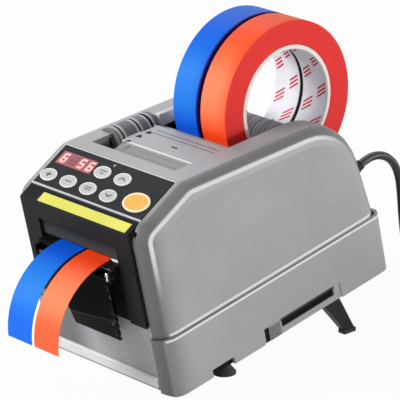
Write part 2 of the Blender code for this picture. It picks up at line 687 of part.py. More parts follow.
def build_keypad():
    here = slope_point(0.0, 0.0, 0.0)
    membrane = material("keypad_membrane", (0.035, 0.035, 0.038), 0.5)
    top = OVERLAY_THICK - OVERLAY_SUNK
    sheet = box_mesh((-OVERLAY_HALF, OVERLAY_LOW, -OVERLAY_SUNK), (OVERLAY_HALF, OVERLAY_HIGH, top))
    overlay = to_object(sheet, "keypad_overlay", membrane, MACHINE, here, KEYPAD_SLOPE)
    for name, u, v, radius in KEYS:
        cut_rod(overlay, f"{name}_overlay_hole", radius + GAP, (u, v, -OVERRUN), (u, v, OVERRUN), KEY_SIDES,
                here, KEYPAD_SLOPE)
    cut_rod(overlay, "led_overlay_hole", LED_RADIUS + GAP, (LED_U, LED_V, -OVERRUN), (LED_U, LED_V, OVERRUN),
            12, here, KEYPAD_SLOPE)
    edge = GAP
    cut_box(overlay, "window_overlay_hole", (WINDOW_U[0] - edge, WINDOW_V[0] - edge, -OVERRUN),
            (WINDOW_U[1] + edge, WINDOW_V[1] + edge, OVERRUN), here, KEYPAD_SLOPE)
    for name, u, v, radius in KEYS:
        build_key(name, u, v, radius)
    lens = material("display_red", (0.9, 0.25, 0.28), 0.2)
    to_object(box_mesh((WINDOW_U[0], WINDOW_V[0], -WINDOW_DEPTH), (WINDOW_U[1], WINDOW_V[1], top)),
              "display_window", lens, MACHINE, here, KEYPAD_SLOPE)
    to_object(rod_mesh(LED_RADIUS, (LED_U, LED_V, GAP - BOARD_TOP), (LED_U, LED_V, top), 12),
              "status_led", material("led_clear", (0.5, 0.5, 0.52), 0.2), MACHINE, here, KEYPAD_SLOPE)
    board = to_object(box_mesh((-OVERLAY_HALF + WALL, OVERLAY_LOW + WALL, -BOARD_TOP - BOARD_THICK),
                               (OVERLAY_HALF - WALL, OVERLAY_HIGH - WALL, -BOARD_TOP)),
                      "control_board", material("board_green", (0.02, 0.16, 0.07), 0.5), MACHINE, here,
                      KEYPAD_SLOPE)
    inset = WALL / 2
    join(board, box_mesh((WINDOW_U[0] + inset, WINDOW_V[0] + inset, -BOARD_TOP - BOARD_THICK / 2),
                         (WINDOW_U[1] - inset, WINDOW_V[1] - inset, -WINDOW_DEPTH - GAP)),
         "digit_block", here, KEYPAD_SLOPE)


def build_key(name, u, v, radius):
    start = name == "key_start"
    cap = material("start_orange" if start else "key_grey",
                   (1.0, 0.47, 0.07) if start else (0.48, 0.48, 0.48), 0.45)
    bm = rod_mesh(radius, (0, 0, -KEY_DEPTH), (0, 0, KEY_PROUD), KEY_SIDES)
    soften(bm, GAP, 1, lambda edge: min(vert.co.z for vert in edge.verts) > KEY_PROUD - TINY)
    to_object(bm, name, cap, MACHINE, slope_point(u, v, 0.0), KEYPAD_SLOPE)


def bezel_profile():
    """The bezel seen from the side: front plate and label strip, bent where they meet."""
    front = -BEZEL_PROUD
    inner = front + BEZEL_WALL
    brow = SLOPE_FOOT + front * tan(KEYPAD_SLOPE)
    # where the strip's top face meets the circle swept about the pivot
    rise = tan(KEYPAD_SLOPE)
    above = SLOPE_FOOT + PIVOT_Y * rise - PIVOT_Z
    a, b, c = 1 + rise ** 2, 2 * above * rise, above ** 2 - BEZEL_SWEEP ** 2
    end_y = PIVOT_Y + (-b + sqrt(b * b - 4 * a * c)) / (2 * a)
    end_z = SLOPE_FOOT + rise * end_y
    under = Vector((sin(KEYPAD_SLOPE), -cos(KEYPAD_SLOPE))) * BEZEL_WALL
    inner_brow = SLOPE_FOOT + inner * rise - BEZEL_WALL / cos(KEYPAD_SLOPE)
    return rounded([(front, BEZEL_LOW, 0), (inner, BEZEL_LOW, 0), (inner, inner_brow, BEZEL_WALL / 2),
                    (end_y + under.x, end_z + under.y, 0), (end_y, end_z, 0),
                    (front, brow, BEZEL_WALL / 2)][::-1], radians(30.0))


def build_front_cover():
    """The bezel turns on two stub pivots at its top corners; label strip and hood ride on it."""
    black = material("bezel_black", BLACK, 0.5)
    half = FRONT_OPENING_HALF - GAP
    pivot = Vector((0.0, PIVOT_Y, PIVOT_Z))
    bm = prism_mesh([(a - pivot.y, b - pivot.z) for a, b in bezel_profile()], -half, half, "X")
    bezel = to_object(bm, "front_bezel", black, MACHINE, pivot)
    cut_box(bezel, "bezel_notch", (-BEZEL_NOTCH_HALF, -OVERRUN - BEZEL_PROUD, BEZEL_LOW - OVERRUN),
            (BEZEL_NOTCH_HALF, OVERRUN, OUTLET_TOP))
    for side, way in both_sides():
        stub = rod_mesh(PIVOT_RADIUS, (way * (half - OVERRUN), 0, 0), (way * (half + PIVOT_RADIUS), 0, 0), 16)
        join(bezel, stub, f"stub_{side}", pivot)
        lug = box_mesh(*side_box((half - OVERRUN, half), (-BEZEL_SWEEP / 2, PIVOT_RADIUS),
                                 (-BEZEL_SWEEP / 2, PIVOT_RADIUS), way))
        join(bezel, lug, f"stub_lug_{side}", pivot)
    hood = box_mesh((-PANEL_HALF, BEZEL_WALL - BEZEL_PROUD + GAP - pivot.y, TABLE_Z + HOOD_LIFT - pivot.z),
                    (PANEL_HALF, BLADE_Y - GAP - pivot.y, OUTLET_TOP + OVERRUN - pivot.z))
    to_object(hood, "outlet_hood", material("hood_grey", (0.045, 0.047, 0.05), 0.35), MACHINE, pivot)
    here = slope_point(0.0, 0.0, 0.0)
    yellow = material("label_yellow", (0.85, 0.82, 0.2), 0.5)
    band = box_mesh((LABEL_U[0], LABEL_V[0], LABEL_LIFT), (LABEL_U[1], LABEL_V[1], LABEL_LIFT + LABEL_THICK))
    to_object(band, "label_band", yellow, MACHINE, here, KEYPAD_SLOPE)


def build_outlet():
    """Fixed panel between the bezel's legs, its sill under the tape, and the sprung flap below it."""
    black = material("panel_black", BLACK, 0.45)
    back = BLADE_Y - GAP
    sill_top = TABLE_Z
    front = back - PANEL_THICK
    under = sill_top - SILL_THICK
    outline = [(front, BEZEL_LOW), (back, BEZEL_LOW), (back, sill_top), (-SILL_REACH, sill_top),
               (-SILL_REACH, under), (front, under)]
    panel = to_object(prism_mesh(outline, -PANEL_HALF, PANEL_HALF, "X"), "outlet_panel", black, MACHINE)
    bore = FLAP_PIN_RADIUS + BORE_SLACK
    for side, way in both_sides():
        low, high = side_box((PANEL_HALF - EAR, PANEL_HALF), (FLAP_PIN_Y - EAR, back - PANEL_THICK / 2),
                             (FLAP_PIN_Z - EAR, under + SILL_THICK / 2), way)
        join(panel, box_mesh(low, high), f"ear_{side}")
    reach = Vector((PANEL_HALF + OVERRUN, 0.0, 0.0))
    pin = Vector((0.0, FLAP_PIN_Y, FLAP_PIN_Z))
    cut_rod(panel, "flap_pin_bore", bore, pin - reach, pin + reach, 16)
    steel = material("bright_steel", (0.6, 0.6, 0.62), 0.25, 1.0)
    to_object(rod_mesh(FLAP_PIN_RADIUS, (-PANEL_HALF, FLAP_PIN_Y, FLAP_PIN_Z),
                       (PANEL_HALF, FLAP_PIN_Y, FLAP_PIN_Z), 16), "flap_pin", steel, MACHINE)
    build_flap(black)


def build_flap(black):
    place = Vector((0.0, FLAP_PIN_Y, FLAP_PIN_Z))
    step = (FLAP_TALL - FLAP_KNUCKLE) / FLAP_TEETH
    edge = [(FLAP_LEFT_LOW, -FLAP_TALL), (FLAP_RIGHT, -FLAP_TALL)]
    for tooth in range(FLAP_TEETH):
        z = -FLAP_TALL + step * (tooth + 1 / 2)
        edge += [(FLAP_RIGHT, z - step / 4), (FLAP_RIGHT - FLAP_TOOTH, z), (FLAP_RIGHT, z + step / 4)]
    edge += [(FLAP_RIGHT, 0.0), (FLAP_LEFT_TOP, 0.0)]
    half = FLAP_THICK / 2
    flap = to_object(prism_mesh(edge, -half, half, "Y"), "outlet_flap", black, MACHINE, place)
    join(flap, rod_mesh(FLAP_KNUCKLE, (FLAP_LEFT_TOP, 0, 0), (FLAP_RIGHT, 0, 0), 20), "flap_knuckle", place)
    reach = FLAP_RIGHT + OVERRUN
    cut_rod(flap, "flap_bore", FLAP_PIN_RADIUS + BORE_SLACK, (-reach, 0, 0), (reach, 0, 0), 16, place)


def build_lower_front():
    half = FRONT_OPENING_HALF - GAP
    grey = material("rib_grey", (0.30, 0.30, 0.31), 0.5)
    ribs = int((2 * half - RIB_PITCH) / RIB_PITCH)
    begin = -ribs * RIB_PITCH / 2
    face = RIB_FACE_Y + RIB_DEPTH
    outline = [(half, face), (half, RIB_FACE_Y + RIB_PANEL_THICK), (-half, RIB_FACE_Y + RIB_PANEL_THICK),
               (-half, face)]
    for rib in range(ribs):
        x = begin + rib * RIB_PITCH
        outline += [(x + RIB_PITCH * share, face - RIB_DEPTH * lift)
                    for share, lift in RIB_SHARES]
    to_object(prism_mesh(outline, LIP_TOP + GAP, RIB_TOP, "Z"), "ribbed_panel", grey, MACHINE)
    pale = material("lip_pale", PALE_GREY, 0.4)
    lip = rounded([(-LIP_PROUD, LIP_LOW, LIP_PROUD), (LIP_DEPTH, LIP_LOW, 0), (LIP_DEPTH, LIP_TOP, 0),
                   (LIP_PROUD, LIP_TOP, LIP_PROUD), (-LIP_PROUD, LIP_TOP - 2 * LIP_PROUD, 0)], radians(30.0))
    to_object(prism_mesh(lip, -half, half, "X"), "front_lip", pale, MACHINE)


def build_feet():
    rubber = material("foot_rubber", (0.03, 0.03, 0.03), 0.8)
    sole = FOOT_RADIUS
    tall = FOOT_DROP + FLOOR_LIFT + OVERRUN
    foot_x = BASE_WIDTH / 2 - FOOT_INSET
    profile = [(0.0, tall), (FOOT_NECK, tall), (FOOT_NECK, FOOT_DROP / 2), (sole, FOOT_RIM), (sole, 0.0),
               (0.0, 0.0)]
    for side, way in both_sides():
        base = Vector((way * foot_x, FOOT_Y, ground_z(FOOT_Y)))
        foot = turned(f"front_foot_{side}", profile, rubber, base, 28, tip=-TILT, along_x=False)
        low, high = side_box((foot_x - 2 * sole, foot_x + 2 * sole), (FOOT_Y - 2 * sole, FOOT_Y + 2 * sole),
                             (FLOOR_LIFT - GAP, FLOOR_LIFT + tall), way)
        cut_box(foot, f"foot_top_{side}", low, high)


def leg_outline():
    """The leg seen from the side, about its pivot: boss, two straight edges and a flat toe."""
    toe_y = LEG_FOOT_Y - LEG_PIVOT_Y

    def toe(y):
        return ground_z(LEG_PIVOT_Y + y) + (PAD_THICK + GAP) / cos(TILT) - LEG_PIVOT_Z

    front = (toe_y - LEG_FOOT_HALF, toe(toe_y - LEG_FOOT_HALF))
    rear = (toe_y + LEG_FOOT_HALF, toe(toe_y + LEG_FOOT_HALF))
    boss = [(LEG_TOP_HALF * cos(angle), LEG_TOP_HALF * sin(angle)) for angle in
            (radians(degrees) for degrees in range(0, 181, 20))]
    return [front, rear] + boss


def build_legs():
    dark = material("leg_dark", DARK, 0.5)
    rubber = material("foot_rubber", (0.03, 0.03, 0.03), 0.8)
    for side, way in both_sides():
        place = Vector((0.0, LEG_PIVOT_Y, LEG_PIVOT_Z))
        across = sorted((way * LEG_X[0], way * LEG_X[1]))
        leg = to_object(prism_mesh(leg_outline(), across[0], across[1], "X"), f"rear_leg_{side}", dark,
                        MACHINE, place)
        ends = (POCKET_X[0] + GAP, POCKET_X[1] - GAP)
        join(leg, rod_mesh(LEG_PIN_RADIUS, (way * ends[0], 0, 0), (way * ends[1], 0, 0), 16),
             f"leg_pin_{side}", place)
        middle = (LEG_X[0] + LEG_X[1]) / 2
        foot = Vector((way * middle, LEG_FOOT_Y, ground_z(LEG_FOOT_Y)))
        wide = (LEG_X[1] - LEG_X[0]) / 2
        pad = box_mesh((-wide, -PAD_LENGTH / 2, 0.0), (wide, PAD_LENGTH / 2, PAD_THICK))
        to_object(pad, f"leg_pad_{side}", rubber, MACHINE, foot, -TILT)


def build_chassis():
    steel = material("chassis_steel", (0.42, 0.43, 0.44), 0.45, 0.9)
    floor = FLOOR_LIFT + FLOOR + GAP
    room = WALL + GAP
    outline = side_outline(SHELL_STEP + WALL + OVERRUN, BOARD_ROOM, room, room, floor)
    for side, way in both_sides():
        across = sorted((way * BAY_HALF, way * (BAY_HALF + CHASSIS)))
        wall = to_object(prism_mesh(outline, across[0], across[1], "X"), f"chassis_{side}", steel, MACHINE)
        cut_axle_holes(wall, side, across)
        cut_box(wall, f"rear_trim_{side}", (across[0] - OVERRUN, BASE_LENGTH - room, -OVERRUN),
                (across[1] + OVERRUN, BASE_LENGTH + OVERRUN, BASE_HEIGHT))
        if side == "left":
            low = (LID_AXIS_U - BARREL_RADIUS, KNUCKLE_SPLITS[0] - LUG, BRACKET_LOW_N - GAP)
            high = (-LID_AXIS_U, KNUCKLE_SPLITS[-1] + LUG, OVERRUN)
            cut_box(wall, "bracket_room", low, high, top_point(0.0, 0.0, 0.0), -TOP_SLOPE)


def cradle_centre(angle):
    reach = ROLL_RADIUS + CRADLE_RADIUS + GAP
    return Vector((0.0, ROLL_Y + reach * cos(angle), ROLL_Z + reach * sin(angle)))


def drum_centre():
    """The keeper drum lies low and forward inside the cores."""
    reach = CORE_BORE - DRUM_RADIUS - DRUM_SLACK
    way = Vector((0.0, *DRUM_WAY_SHARES)).normalized()
    return Vector((0.0, ROLL_Y, ROLL_Z)) + way * reach


def feed_centre():
    return Vector((0.0, FEED_Y, TABLE_Z - FEED_RADIUS))


def press_centre():
    return Vector((0.0, FEED_Y, TABLE_Z + NIP + PRESS_RADIUS))


def motor_centre():
    apart = GEAR_MODULE * (FEED_TEETH + PINION_TEETH) / 2
    return feed_centre() + Vector((0.0, cos(MOTOR_ANGLE), sin(MOTOR_ANGLE))) * apart


def cut_axle_holes(wall, side, across):
    low, high = across[0] - OVERRUN, across[1] + OVERRUN
    holes = [("feed_hole", feed_centre(), SHAFT_RADIUS + BORE_SLACK),
             ("cradle_front_hole", cradle_centre(CRADLE_FRONT_ANGLE), AXLE_RADIUS + BORE_SLACK),
             ("cradle_rear_hole", cradle_centre(CRADLE_REAR_ANGLE), AXLE_RADIUS + BORE_SLACK),
             ("drum_hole", drum_centre(), AXLE_RADIUS + BORE_SLACK)]
    if side == "right":
        holes.append(("motor_hole", motor_centre(), SHAFT_RADIUS + 2 * BORE_SLACK))
    for name, centre, radius in holes:
        cut_rod(wall, f"{name}_{side}", radius, (low, centre.y, centre.z), (high, centre.y, centre.z), 20)


def build_tray():
    """Floor of the roll bay, and the ledge wall behind the lid."""
    grey = material("housing_grey", GREY, 0.45)
    half = BAY_HALF - GAP
    wall_y = top_point(0.0, KNUCKLE_SPLITS[-1] + BARREL_SLACK, 0.0).y
    ledge_top = RIDGE_Z - tan(TOP_SLOPE) * (wall_y - RIDGE_Y) - LEDGE_SUNK
    floor_top = ROLL_Z - ROLL_RADIUS - TRAY_CLEAR
    wall = box_mesh((-half, wall_y, floor_top - TRAY_THICK), (half, wall_y + TRAY_THICK, ledge_top))
    tray = to_object(wall, "roll_tray", grey, MACHINE)
    rear = rear_y(floor_top) - WALL - 2 * GAP
    join(tray, box_mesh((-half, wall_y, floor_top - TRAY_THICK), (half, rear, floor_top)), "tray_floor")


def shaft_profile(length, radius, overhang, axle):
    """A roller with stub axles: (radius, height) from one end to the other."""
    half = length / 2
    return [(0.0, half + overhang), (axle, half + overhang), (axle, half), (radius, half),
            (radius, -half), (axle, -half), (axle, -half - overhang), (0.0, -half - overhang)]


def build_rollers():
    rubber = material("roller_rubber", (0.04, 0.04, 0.045), 0.7)
    ribbed = material("drum_grey", (0.06, 0.06, 0.07), 0.55)
    side_gap = BAY_HALF - 2 * GAP
    over = CHASSIS + 2 * GAP
    for name, angle in (("front", CRADLE_FRONT_ANGLE), ("rear", CRADLE_REAR_ANGLE)):
        turned(f"cradle_roller_{name}", shaft_profile(2 * side_gap, CRADLE_RADIUS, over, AXLE_RADIUS), rubber,
               cradle_centre(angle), 28)
    profile = [(0.0, side_gap + over), (AXLE_RADIUS, side_gap + over), (AXLE_RADIUS, side_gap)]
    pitch = 2 * side_gap / DRUM_RIBS
    for rib in range(DRUM_RIBS):
        top = side_gap - rib * pitch
        profile += [(DRUM_RADIUS, top), (DRUM_RADIUS, top - pitch * DRUM_LAND_SHARE)]
        if rib < DRUM_RIBS - 1:
            low = DRUM_RADIUS - DRUM_GROOVE
            profile += [(low, top - pitch * share) for share in DRUM_GROOVE_SHARES]
    profile += [(DRUM_RADIUS, -side_gap), (AXLE_RADIUS, -side_gap), (AXLE_RADIUS, -side_gap - over),
                (0.0, -side_gap - over)]
    turned("keeper_drum", profile, ribbed, drum_centre(), 24)


def tape_middles():
    """Middle of each tape across the machine, left one first."""
    shift = (TAPE_WIDTH + TAPE_APART) / 2
    return (("blue", TAPE_CENTRE_X - shift), ("orange", TAPE_CENTRE_X + shift))


def build_rolls():
    card = material("core_card", (0.80, 0.78, 0.74), 0.7)
    half = TAPE_WIDTH / 2
    card_out = CORE_BORE + CORE_WALL
    for name, x in tape_middles():
        place = Vector((x, ROLL_Y, ROLL_Z))
        wound = [(ROLL_RADIUS, half), (ROLL_RADIUS, -half), (card_out + GAP, -half), (card_out + GAP, half)]
        turned(f"{name}_tape", wound, material(f"{name}_tape", TAPE_PAINTS[name], 0.5), place, 64)
        sleeve = [(card_out, half), (card_out, -half), (CORE_BORE, -half), (CORE_BORE, half)]
        turned(f"{name}_core", sleeve, card, place, 48)


def strip_outline():
    """A tape's free end seen from the side: flat over the sill, then bending down in one arc."""
    low = TABLE_Z + GAP
    begin = STRIP_RUN - SILL_REACH
    bend_y = -SILL_REACH
    centre = low - STRIP_RADIUS
    end = [(begin, low + STRIP_THICK), (begin, low)]
    under = []
    over = []
    for step in range(STRIP_STEPS + 1):
        angle = STRIP_TURN * step / STRIP_STEPS
        under.append((bend_y - STRIP_RADIUS * sin(angle), centre + STRIP_RADIUS * cos(angle)))
        reach = STRIP_RADIUS + STRIP_THICK
        over.append((bend_y - reach * sin(angle), centre + reach * cos(angle)))
    return end + under + over[::-1]


def build_strips():
    half = TAPE_WIDTH / 2
    for name, x in tape_middles():
        to_object(prism_mesh(strip_outline(), x - half, x + half, "X"), f"{name}_strip",
                  material(f"{name}_tape", TAPE_PAINTS[name], 0.5), MACHINE)


def gear_outline(teeth, module, phase):
    """Straight-flanked teeth; phase is the direction in which one tooth points."""
    radius = teeth * module / 2
    pitch = 2 * pi / teeth
    points = []
    for tooth in range(teeth):
        middle = phase + tooth * pitch
        for share, out in TOOTH_SHARES:
            reach = radius + out * module
            points.append((reach * cos(middle + share * pitch), reach * sin(middle + share * pitch)))
    return points


def build_feed():
    rubber = material("roller_rubber", (0.04, 0.04, 0.045), 0.7)
    nylon = material("gear_plastic", (0.75, 0.72, 0.62), 0.5)
    steel = material("bright_steel", (0.6, 0.6, 0.62), 0.25, 1.0)
    left = TAPE_CENTRE_X - TAPE_WIDTH - TAPE_APART / 2 - ROLLER_END
    right = TAPE_CENTRE_X + TAPE_WIDTH + TAPE_APART / 2 + ROLLER_END
    gear_end = GEAR_X + GEAR_WIDTH
    left_end = -BAY_HALF - CHASSIS
    axle = SHAFT_RADIUS
    feed = [(0.0, gear_end), (axle, gear_end), (axle, right), (FEED_RADIUS, right), (FEED_RADIUS, left),
            (axle, left), (axle, left_end), (0.0, left_end)]
    turned("feed_roller", feed, rubber, feed_centre(), 36)
    wheel = prism_mesh(gear_outline(FEED_TEETH, GEAR_MODULE, MOTOR_ANGLE), GEAR_X, gear_end - TINY, "X")
    gear = to_object(wheel, "feed_gear", nylon, MACHINE, feed_centre())
    cut_rod(gear, "feed_gear_bore", SHAFT_RADIUS + GAP, (GEAR_X - OVERRUN, 0, 0), (gear_end + OVERRUN, 0, 0),
            24, feed_centre())
    press = [(0.0, right + LUG), (axle, right + LUG), (axle, right), (PRESS_RADIUS, right),
             (PRESS_RADIUS, left), (axle, left), (axle, left - LUG), (0.0, left - LUG)]
    turned("pressure_roller", press, rubber, press_centre(), 32)
    build_feed_motor(steel)


def build_feed_motor(steel):
    place = motor_centre()
    can = material("motor_can", (0.5, 0.5, 0.52), 0.35, 1.0)
    face = BAY_HALF - GAP
    body = rod_mesh(MOTOR_RADIUS, (face - MOTOR_LENGTH, 0, 0), (face, 0, 0), 32)
    motor = to_object(body, "feed_motor", can, MACHINE, place)
    bore = SHAFT_RADIUS + BORE_SLACK
    cut_rod(motor, "feed_motor_bore", bore, (face - LUG * 2, 0, 0), (face + OVERRUN, 0, 0), 20, place)
    phase = MOTOR_ANGLE + pi + pi / PINION_TEETH
    wheel = prism_mesh(gear_outline(PINION_TEETH, GEAR_MODULE, phase), GEAR_X, GEAR_X + GEAR_WIDTH, "X")
    pinion = to_object(wheel, "motor_pinion", steel, MACHINE, place)
    join(pinion, rod_mesh(SHAFT_RADIUS, (face - LUG, 0, 0), (GEAR_X + GEAR_WIDTH / 2, 0, 0), 20),
         "motor_shaft", place)


def build_cutter():
    """Guillotine in the outlet: a plate that slides down past a fixed edge, driven by rack and pinion."""
    steel = material("blade_steel", (0.66, 0.66, 0.68), 0.22, 1.0)
    half = BAY_HALF - GAP
    guide = material("guide_steel", (0.5, 0.5, 0.52), 0.35, 0.9)
    to_object(box_mesh((-half, GUIDE_FRONT, TABLE_Z - GUIDE_THICK),
                       (half, FEED_Y - FEED_RADIUS - GAP, TABLE_Z)), "tape_guide", guide, MACHINE)
    fixed_y = BLADE_Y + BLADE_THICK + GAP
    edge = box_mesh((-half, fixed_y, TABLE_Z - GUIDE_THICK),
                    (RACK_X[0] - BLADE_THICK, GUIDE_FRONT - GAP, TABLE_Z))
    to_object(edge, "fixed_blade", steel, MACHINE)
    low = TABLE_Z + BLADE_LIFT
    rack_low = CUTTER_Z - RACK_DROP
    high = low + BLADE_TALL
    outline = [(-PANEL_HALF, low), (RACK_X[0], low + BLADE_SHEAR), (RACK_X[0], rack_low),
               (RACK_X[1], rack_low), (RACK_X[1], high), (-PANEL_HALF, high)]
    plate = prism_mesh(outline, BLADE_Y, BLADE_Y + BLADE_THICK, "Y")
    blade = to_object(plate, "moving_blade", steel, MACHINE)
    join(blade, rack_mesh(), "rack")
    build_cutter_motor(steel)


def rack_pitch_y():
    return CUTTER_Y - RACK_MODULE * RACK_PINION_TEETH / 2


def rack_mesh():
    """Rack teeth facing back, one tooth gap level with the pinion's centre."""
    pitch = pi * RACK_MODULE
    pitch_y = rack_pitch_y()
    back = pitch_y + TOOTH_SHARES[0][1] * RACK_MODULE
    count = RACK_TEETH
    outline = [(BLADE_Y + BLADE_THICK / 2, CUTTER_Z - pitch * count / 2),
               (back, CUTTER_Z - pitch * count / 2)]
    for tooth in range(count):
        middle = CUTTER_Z + (tooth - (count - 1) / 2) * pitch
        for share, out in TOOTH_SHARES:
            outline.append((pitch_y + out * RACK_MODULE, middle + share * pitch))
    top = CUTTER_Z + pitch * count / 2
    outline += [(back, top), (BLADE_Y + BLADE_THICK / 2, top)]
    return prism_mesh(outline, RACK_X[0], RACK_X[1], "X")


def build_cutter_motor(steel):
    place = Vector((0.0, CUTTER_Y, CUTTER_Z))
    can = material("motor_can", (0.5, 0.5, 0.52), 0.35, 1.0)
    face = RACK_X[0] - BLADE_THICK
    motor = to_object(rod_mesh(CUTTER_MOTOR_RADIUS, (GAP - BAY_HALF, 0, 0), (face, 0, 0), 32),
                      "cutter_motor", can, MACHINE, place)
    cut_rod(motor, "cutter_motor_bore", SHAFT_RADIUS + BORE_SLACK, (face - LUG * 2, 0, 0),
            (face + OVERRUN, 0, 0), 20, place)
    tooth = pi if RACK_TEETH % 2 == 0 else pi + pi / RACK_PINION_TEETH
    pinion = to_object(prism_mesh(gear_outline(RACK_PINION_TEETH, RACK_MODULE, tooth), RACK_X[0] + GAP,
                                  RACK_X[1], "X"), "cutter_pinion", steel, MACHINE, place)
    join(pinion, rod_mesh(SHAFT_RADIUS, (face - LUG, 0, 0), (RACK_X[0] + BLADE_THICK, 0, 0), 20),
         "cutter_shaft", place)


def build_lid():
    """Lid over the feed rollers: step, flat and lugs for the pressure roller, on a barrel at the left."""
    grey = material("lid_grey", (0.40, 0.40, 0.41), 0.42)
    place = top_point(LID_AXIS_U, LID_AXIS_V, LID_AXIS_N)
    right = BAY_HALF - LID_RIGHT_GAP

    def near(v, n):
        return v - LID_AXIS_V, n - LID_AXIS_N

    top = -LID_SUNK
    step = top - LID_STEP_RISE
    wall = LID_WALL
    outline = [near(LID_FRONT_V, -LID_APRON - wall), near(LID_STEP_V, step - wall),
               near(LID_STEP_V + wall / 2, top - wall), near(LID_REAR_V, top - wall), near(LID_REAR_V, top),
               near(LID_STEP_V + wall / 2, top), near(LID_STEP_V, step), near(LID_FRONT_V, -LID_APRON)]
    bm = prism_mesh(outline, LID_LEFT - LID_AXIS_U, right - LID_AXIS_U, "X")
    lid = to_object(bm, "pressure_lid", grey, MACHINE, place, -TOP_SLOPE)
    for index in (1, 3):
        low = KNUCKLE_SPLITS[index] + GAP - LID_AXIS_V
        high = min(KNUCKLE_SPLITS[index + 1] - GAP, LID_REAR_V + LUG) - LID_AXIS_V
        knuckle = rod_mesh(BARREL_RADIUS, (0, low, 0), (0, high, 0), 36)
        join(lid, knuckle, f"lid_knuckle_{index}", place, -TOP_SLOPE)
        reach = min(high, LID_REAR_V - LID_AXIS_V)
        tab = box_mesh((BARREL_RADIUS / 2, low, top - wall - LID_AXIS_N),
                       (LID_LEFT - LID_AXIS_U + wall, reach, top - LID_AXIS_N))
        join(lid, tab, f"lid_tab_{index}", place, -TOP_SLOPE)
    add_roller_lugs(lid, place, top - wall - LID_AXIS_N)
    length = KNUCKLE_SPLITS[-1] - KNUCKLE_SPLITS[0]
    bore = HINGE_PIN_RADIUS + BORE_SLACK
    cut_rod(lid, "lid_bore", bore, (0, -length, 0), (0, length, 0), 20, place, -TOP_SLOPE)
    build_hinge_bracket(grey)


def add_roller_lugs(lid, place, under):
    """Two lugs that reach down from the lid to the pressure roller's ends."""
    centre = press_centre()
    aside = TAPE_WIDTH + TAPE_APART / 2 + ROLLER_END
    turn = Matrix.Rotation(TOP_SLOPE, 3, "X")
    local = turn @ (centre - place)
    for side, way in both_sides():
        inner = TAPE_CENTRE_X + way * (aside + GAP)
        across = sorted((inner - LID_AXIS_U, inner + way * LUG - LID_AXIS_U))
        low, high = local.z - LUG_HALF, under + LID_WALL / 2
        front, rear = local.y - LUG_HALF, local.y + LUG_HALF
        toe = LUG_HALF * LUG_ROUND_SHARE
        outline = rounded([(front, low, toe), (rear, low, toe), (rear, high, 0), (front, high, 0)],
                          radians(30.0))
        join(lid, prism_mesh(outline, across[0], across[1], "X"), f"lug_{side}", place, -TOP_SLOPE)
    reach = aside + LUG * 2
    start = Vector((TAPE_CENTRE_X - LID_AXIS_U - reach, local.y, local.z))
    end = Vector((TAPE_CENTRE_X - LID_AXIS_U + reach, local.y, local.z))
    cut_rod(lid, "lug_bore", SHAFT_RADIUS + BORE_SLACK, start, end, 20, place, -TOP_SLOPE)


def build_hinge_bracket(grey):
    place = top_point(LID_AXIS_U, LID_AXIS_V, LID_AXIS_N)
    low_n = BRACKET_LOW_N - LID_AXIS_N
    begin = KNUCKLE_SPLITS[0] + GAP - LID_AXIS_V
    first_end = KNUCKLE_SPLITS[1] - GAP - LID_AXIS_V
    second_begin = KNUCKLE_SPLITS[2] + GAP - LID_AXIS_V
    end = KNUCKLE_SPLITS[3] - GAP - LID_AXIS_V
    knuckle = rod_mesh(BARREL_RADIUS, (0, begin, 0), (0, first_end, 0), 36)
    bracket = to_object(knuckle, "hinge_bracket", grey, MACHINE, place, -TOP_SLOPE)
    second = rod_mesh(BARREL_RADIUS, (0, second_begin, 0), (0, end, 0), 36)
    join(bracket, second, "bracket_knuckle", place, -TOP_SLOPE)
    inset = GAP
    under = -BARREL_RADIUS - 2 * GAP
    waist = -BARREL_RADIUS / 2
    outline = [(begin + inset, low_n), (end - inset, low_n), (end - inset, waist),
               (second_begin + inset, waist), (second_begin + inset, under), (first_end - inset, under),
               (first_end - inset, waist), (begin + inset, waist)]
    half = BRACKET_HALF
    join(bracket, prism_mesh(outline, -half, half, "X"), "bracket_foot", place, -TOP_SLOPE)
    length = KNUCKLE_SPLITS[-1] - KNUCKLE_SPLITS[0]
    bore = HINGE_PIN_RADIUS + BORE_SLACK
    cut_rod(bracket, "bracket_bore", bore, (0, -length, 0), (0, length, 0), 20, place, -TOP_SLOPE)
    steel = material("bright_steel", (0.6, 0.6, 0.62), 0.25, 1.0)
    pin = rod_mesh(HINGE_PIN_RADIUS, (0, begin, 0), (0, LID_REAR_V - LID_AXIS_V, 0), 20)
    to_object(pin, "hinge_pin", steel, MACHINE, place, -TOP_SLOPE)


def build_electrics():
    floor = FLOOR_LIFT + FLOOR + GAP
    iron = material("transformer_dark", (0.09, 0.08, 0.07), 0.6)
    block = box_mesh((SUPPLY_X[0], SUPPLY_Y[0], floor), (SUPPLY_X[1], SUPPLY_Y[1], floor + SUPPLY_TALL))
    to_object(soften(block, WALL), "mains_transformer", iron, MACHINE)
    build_switch()
    build_strain_relief()


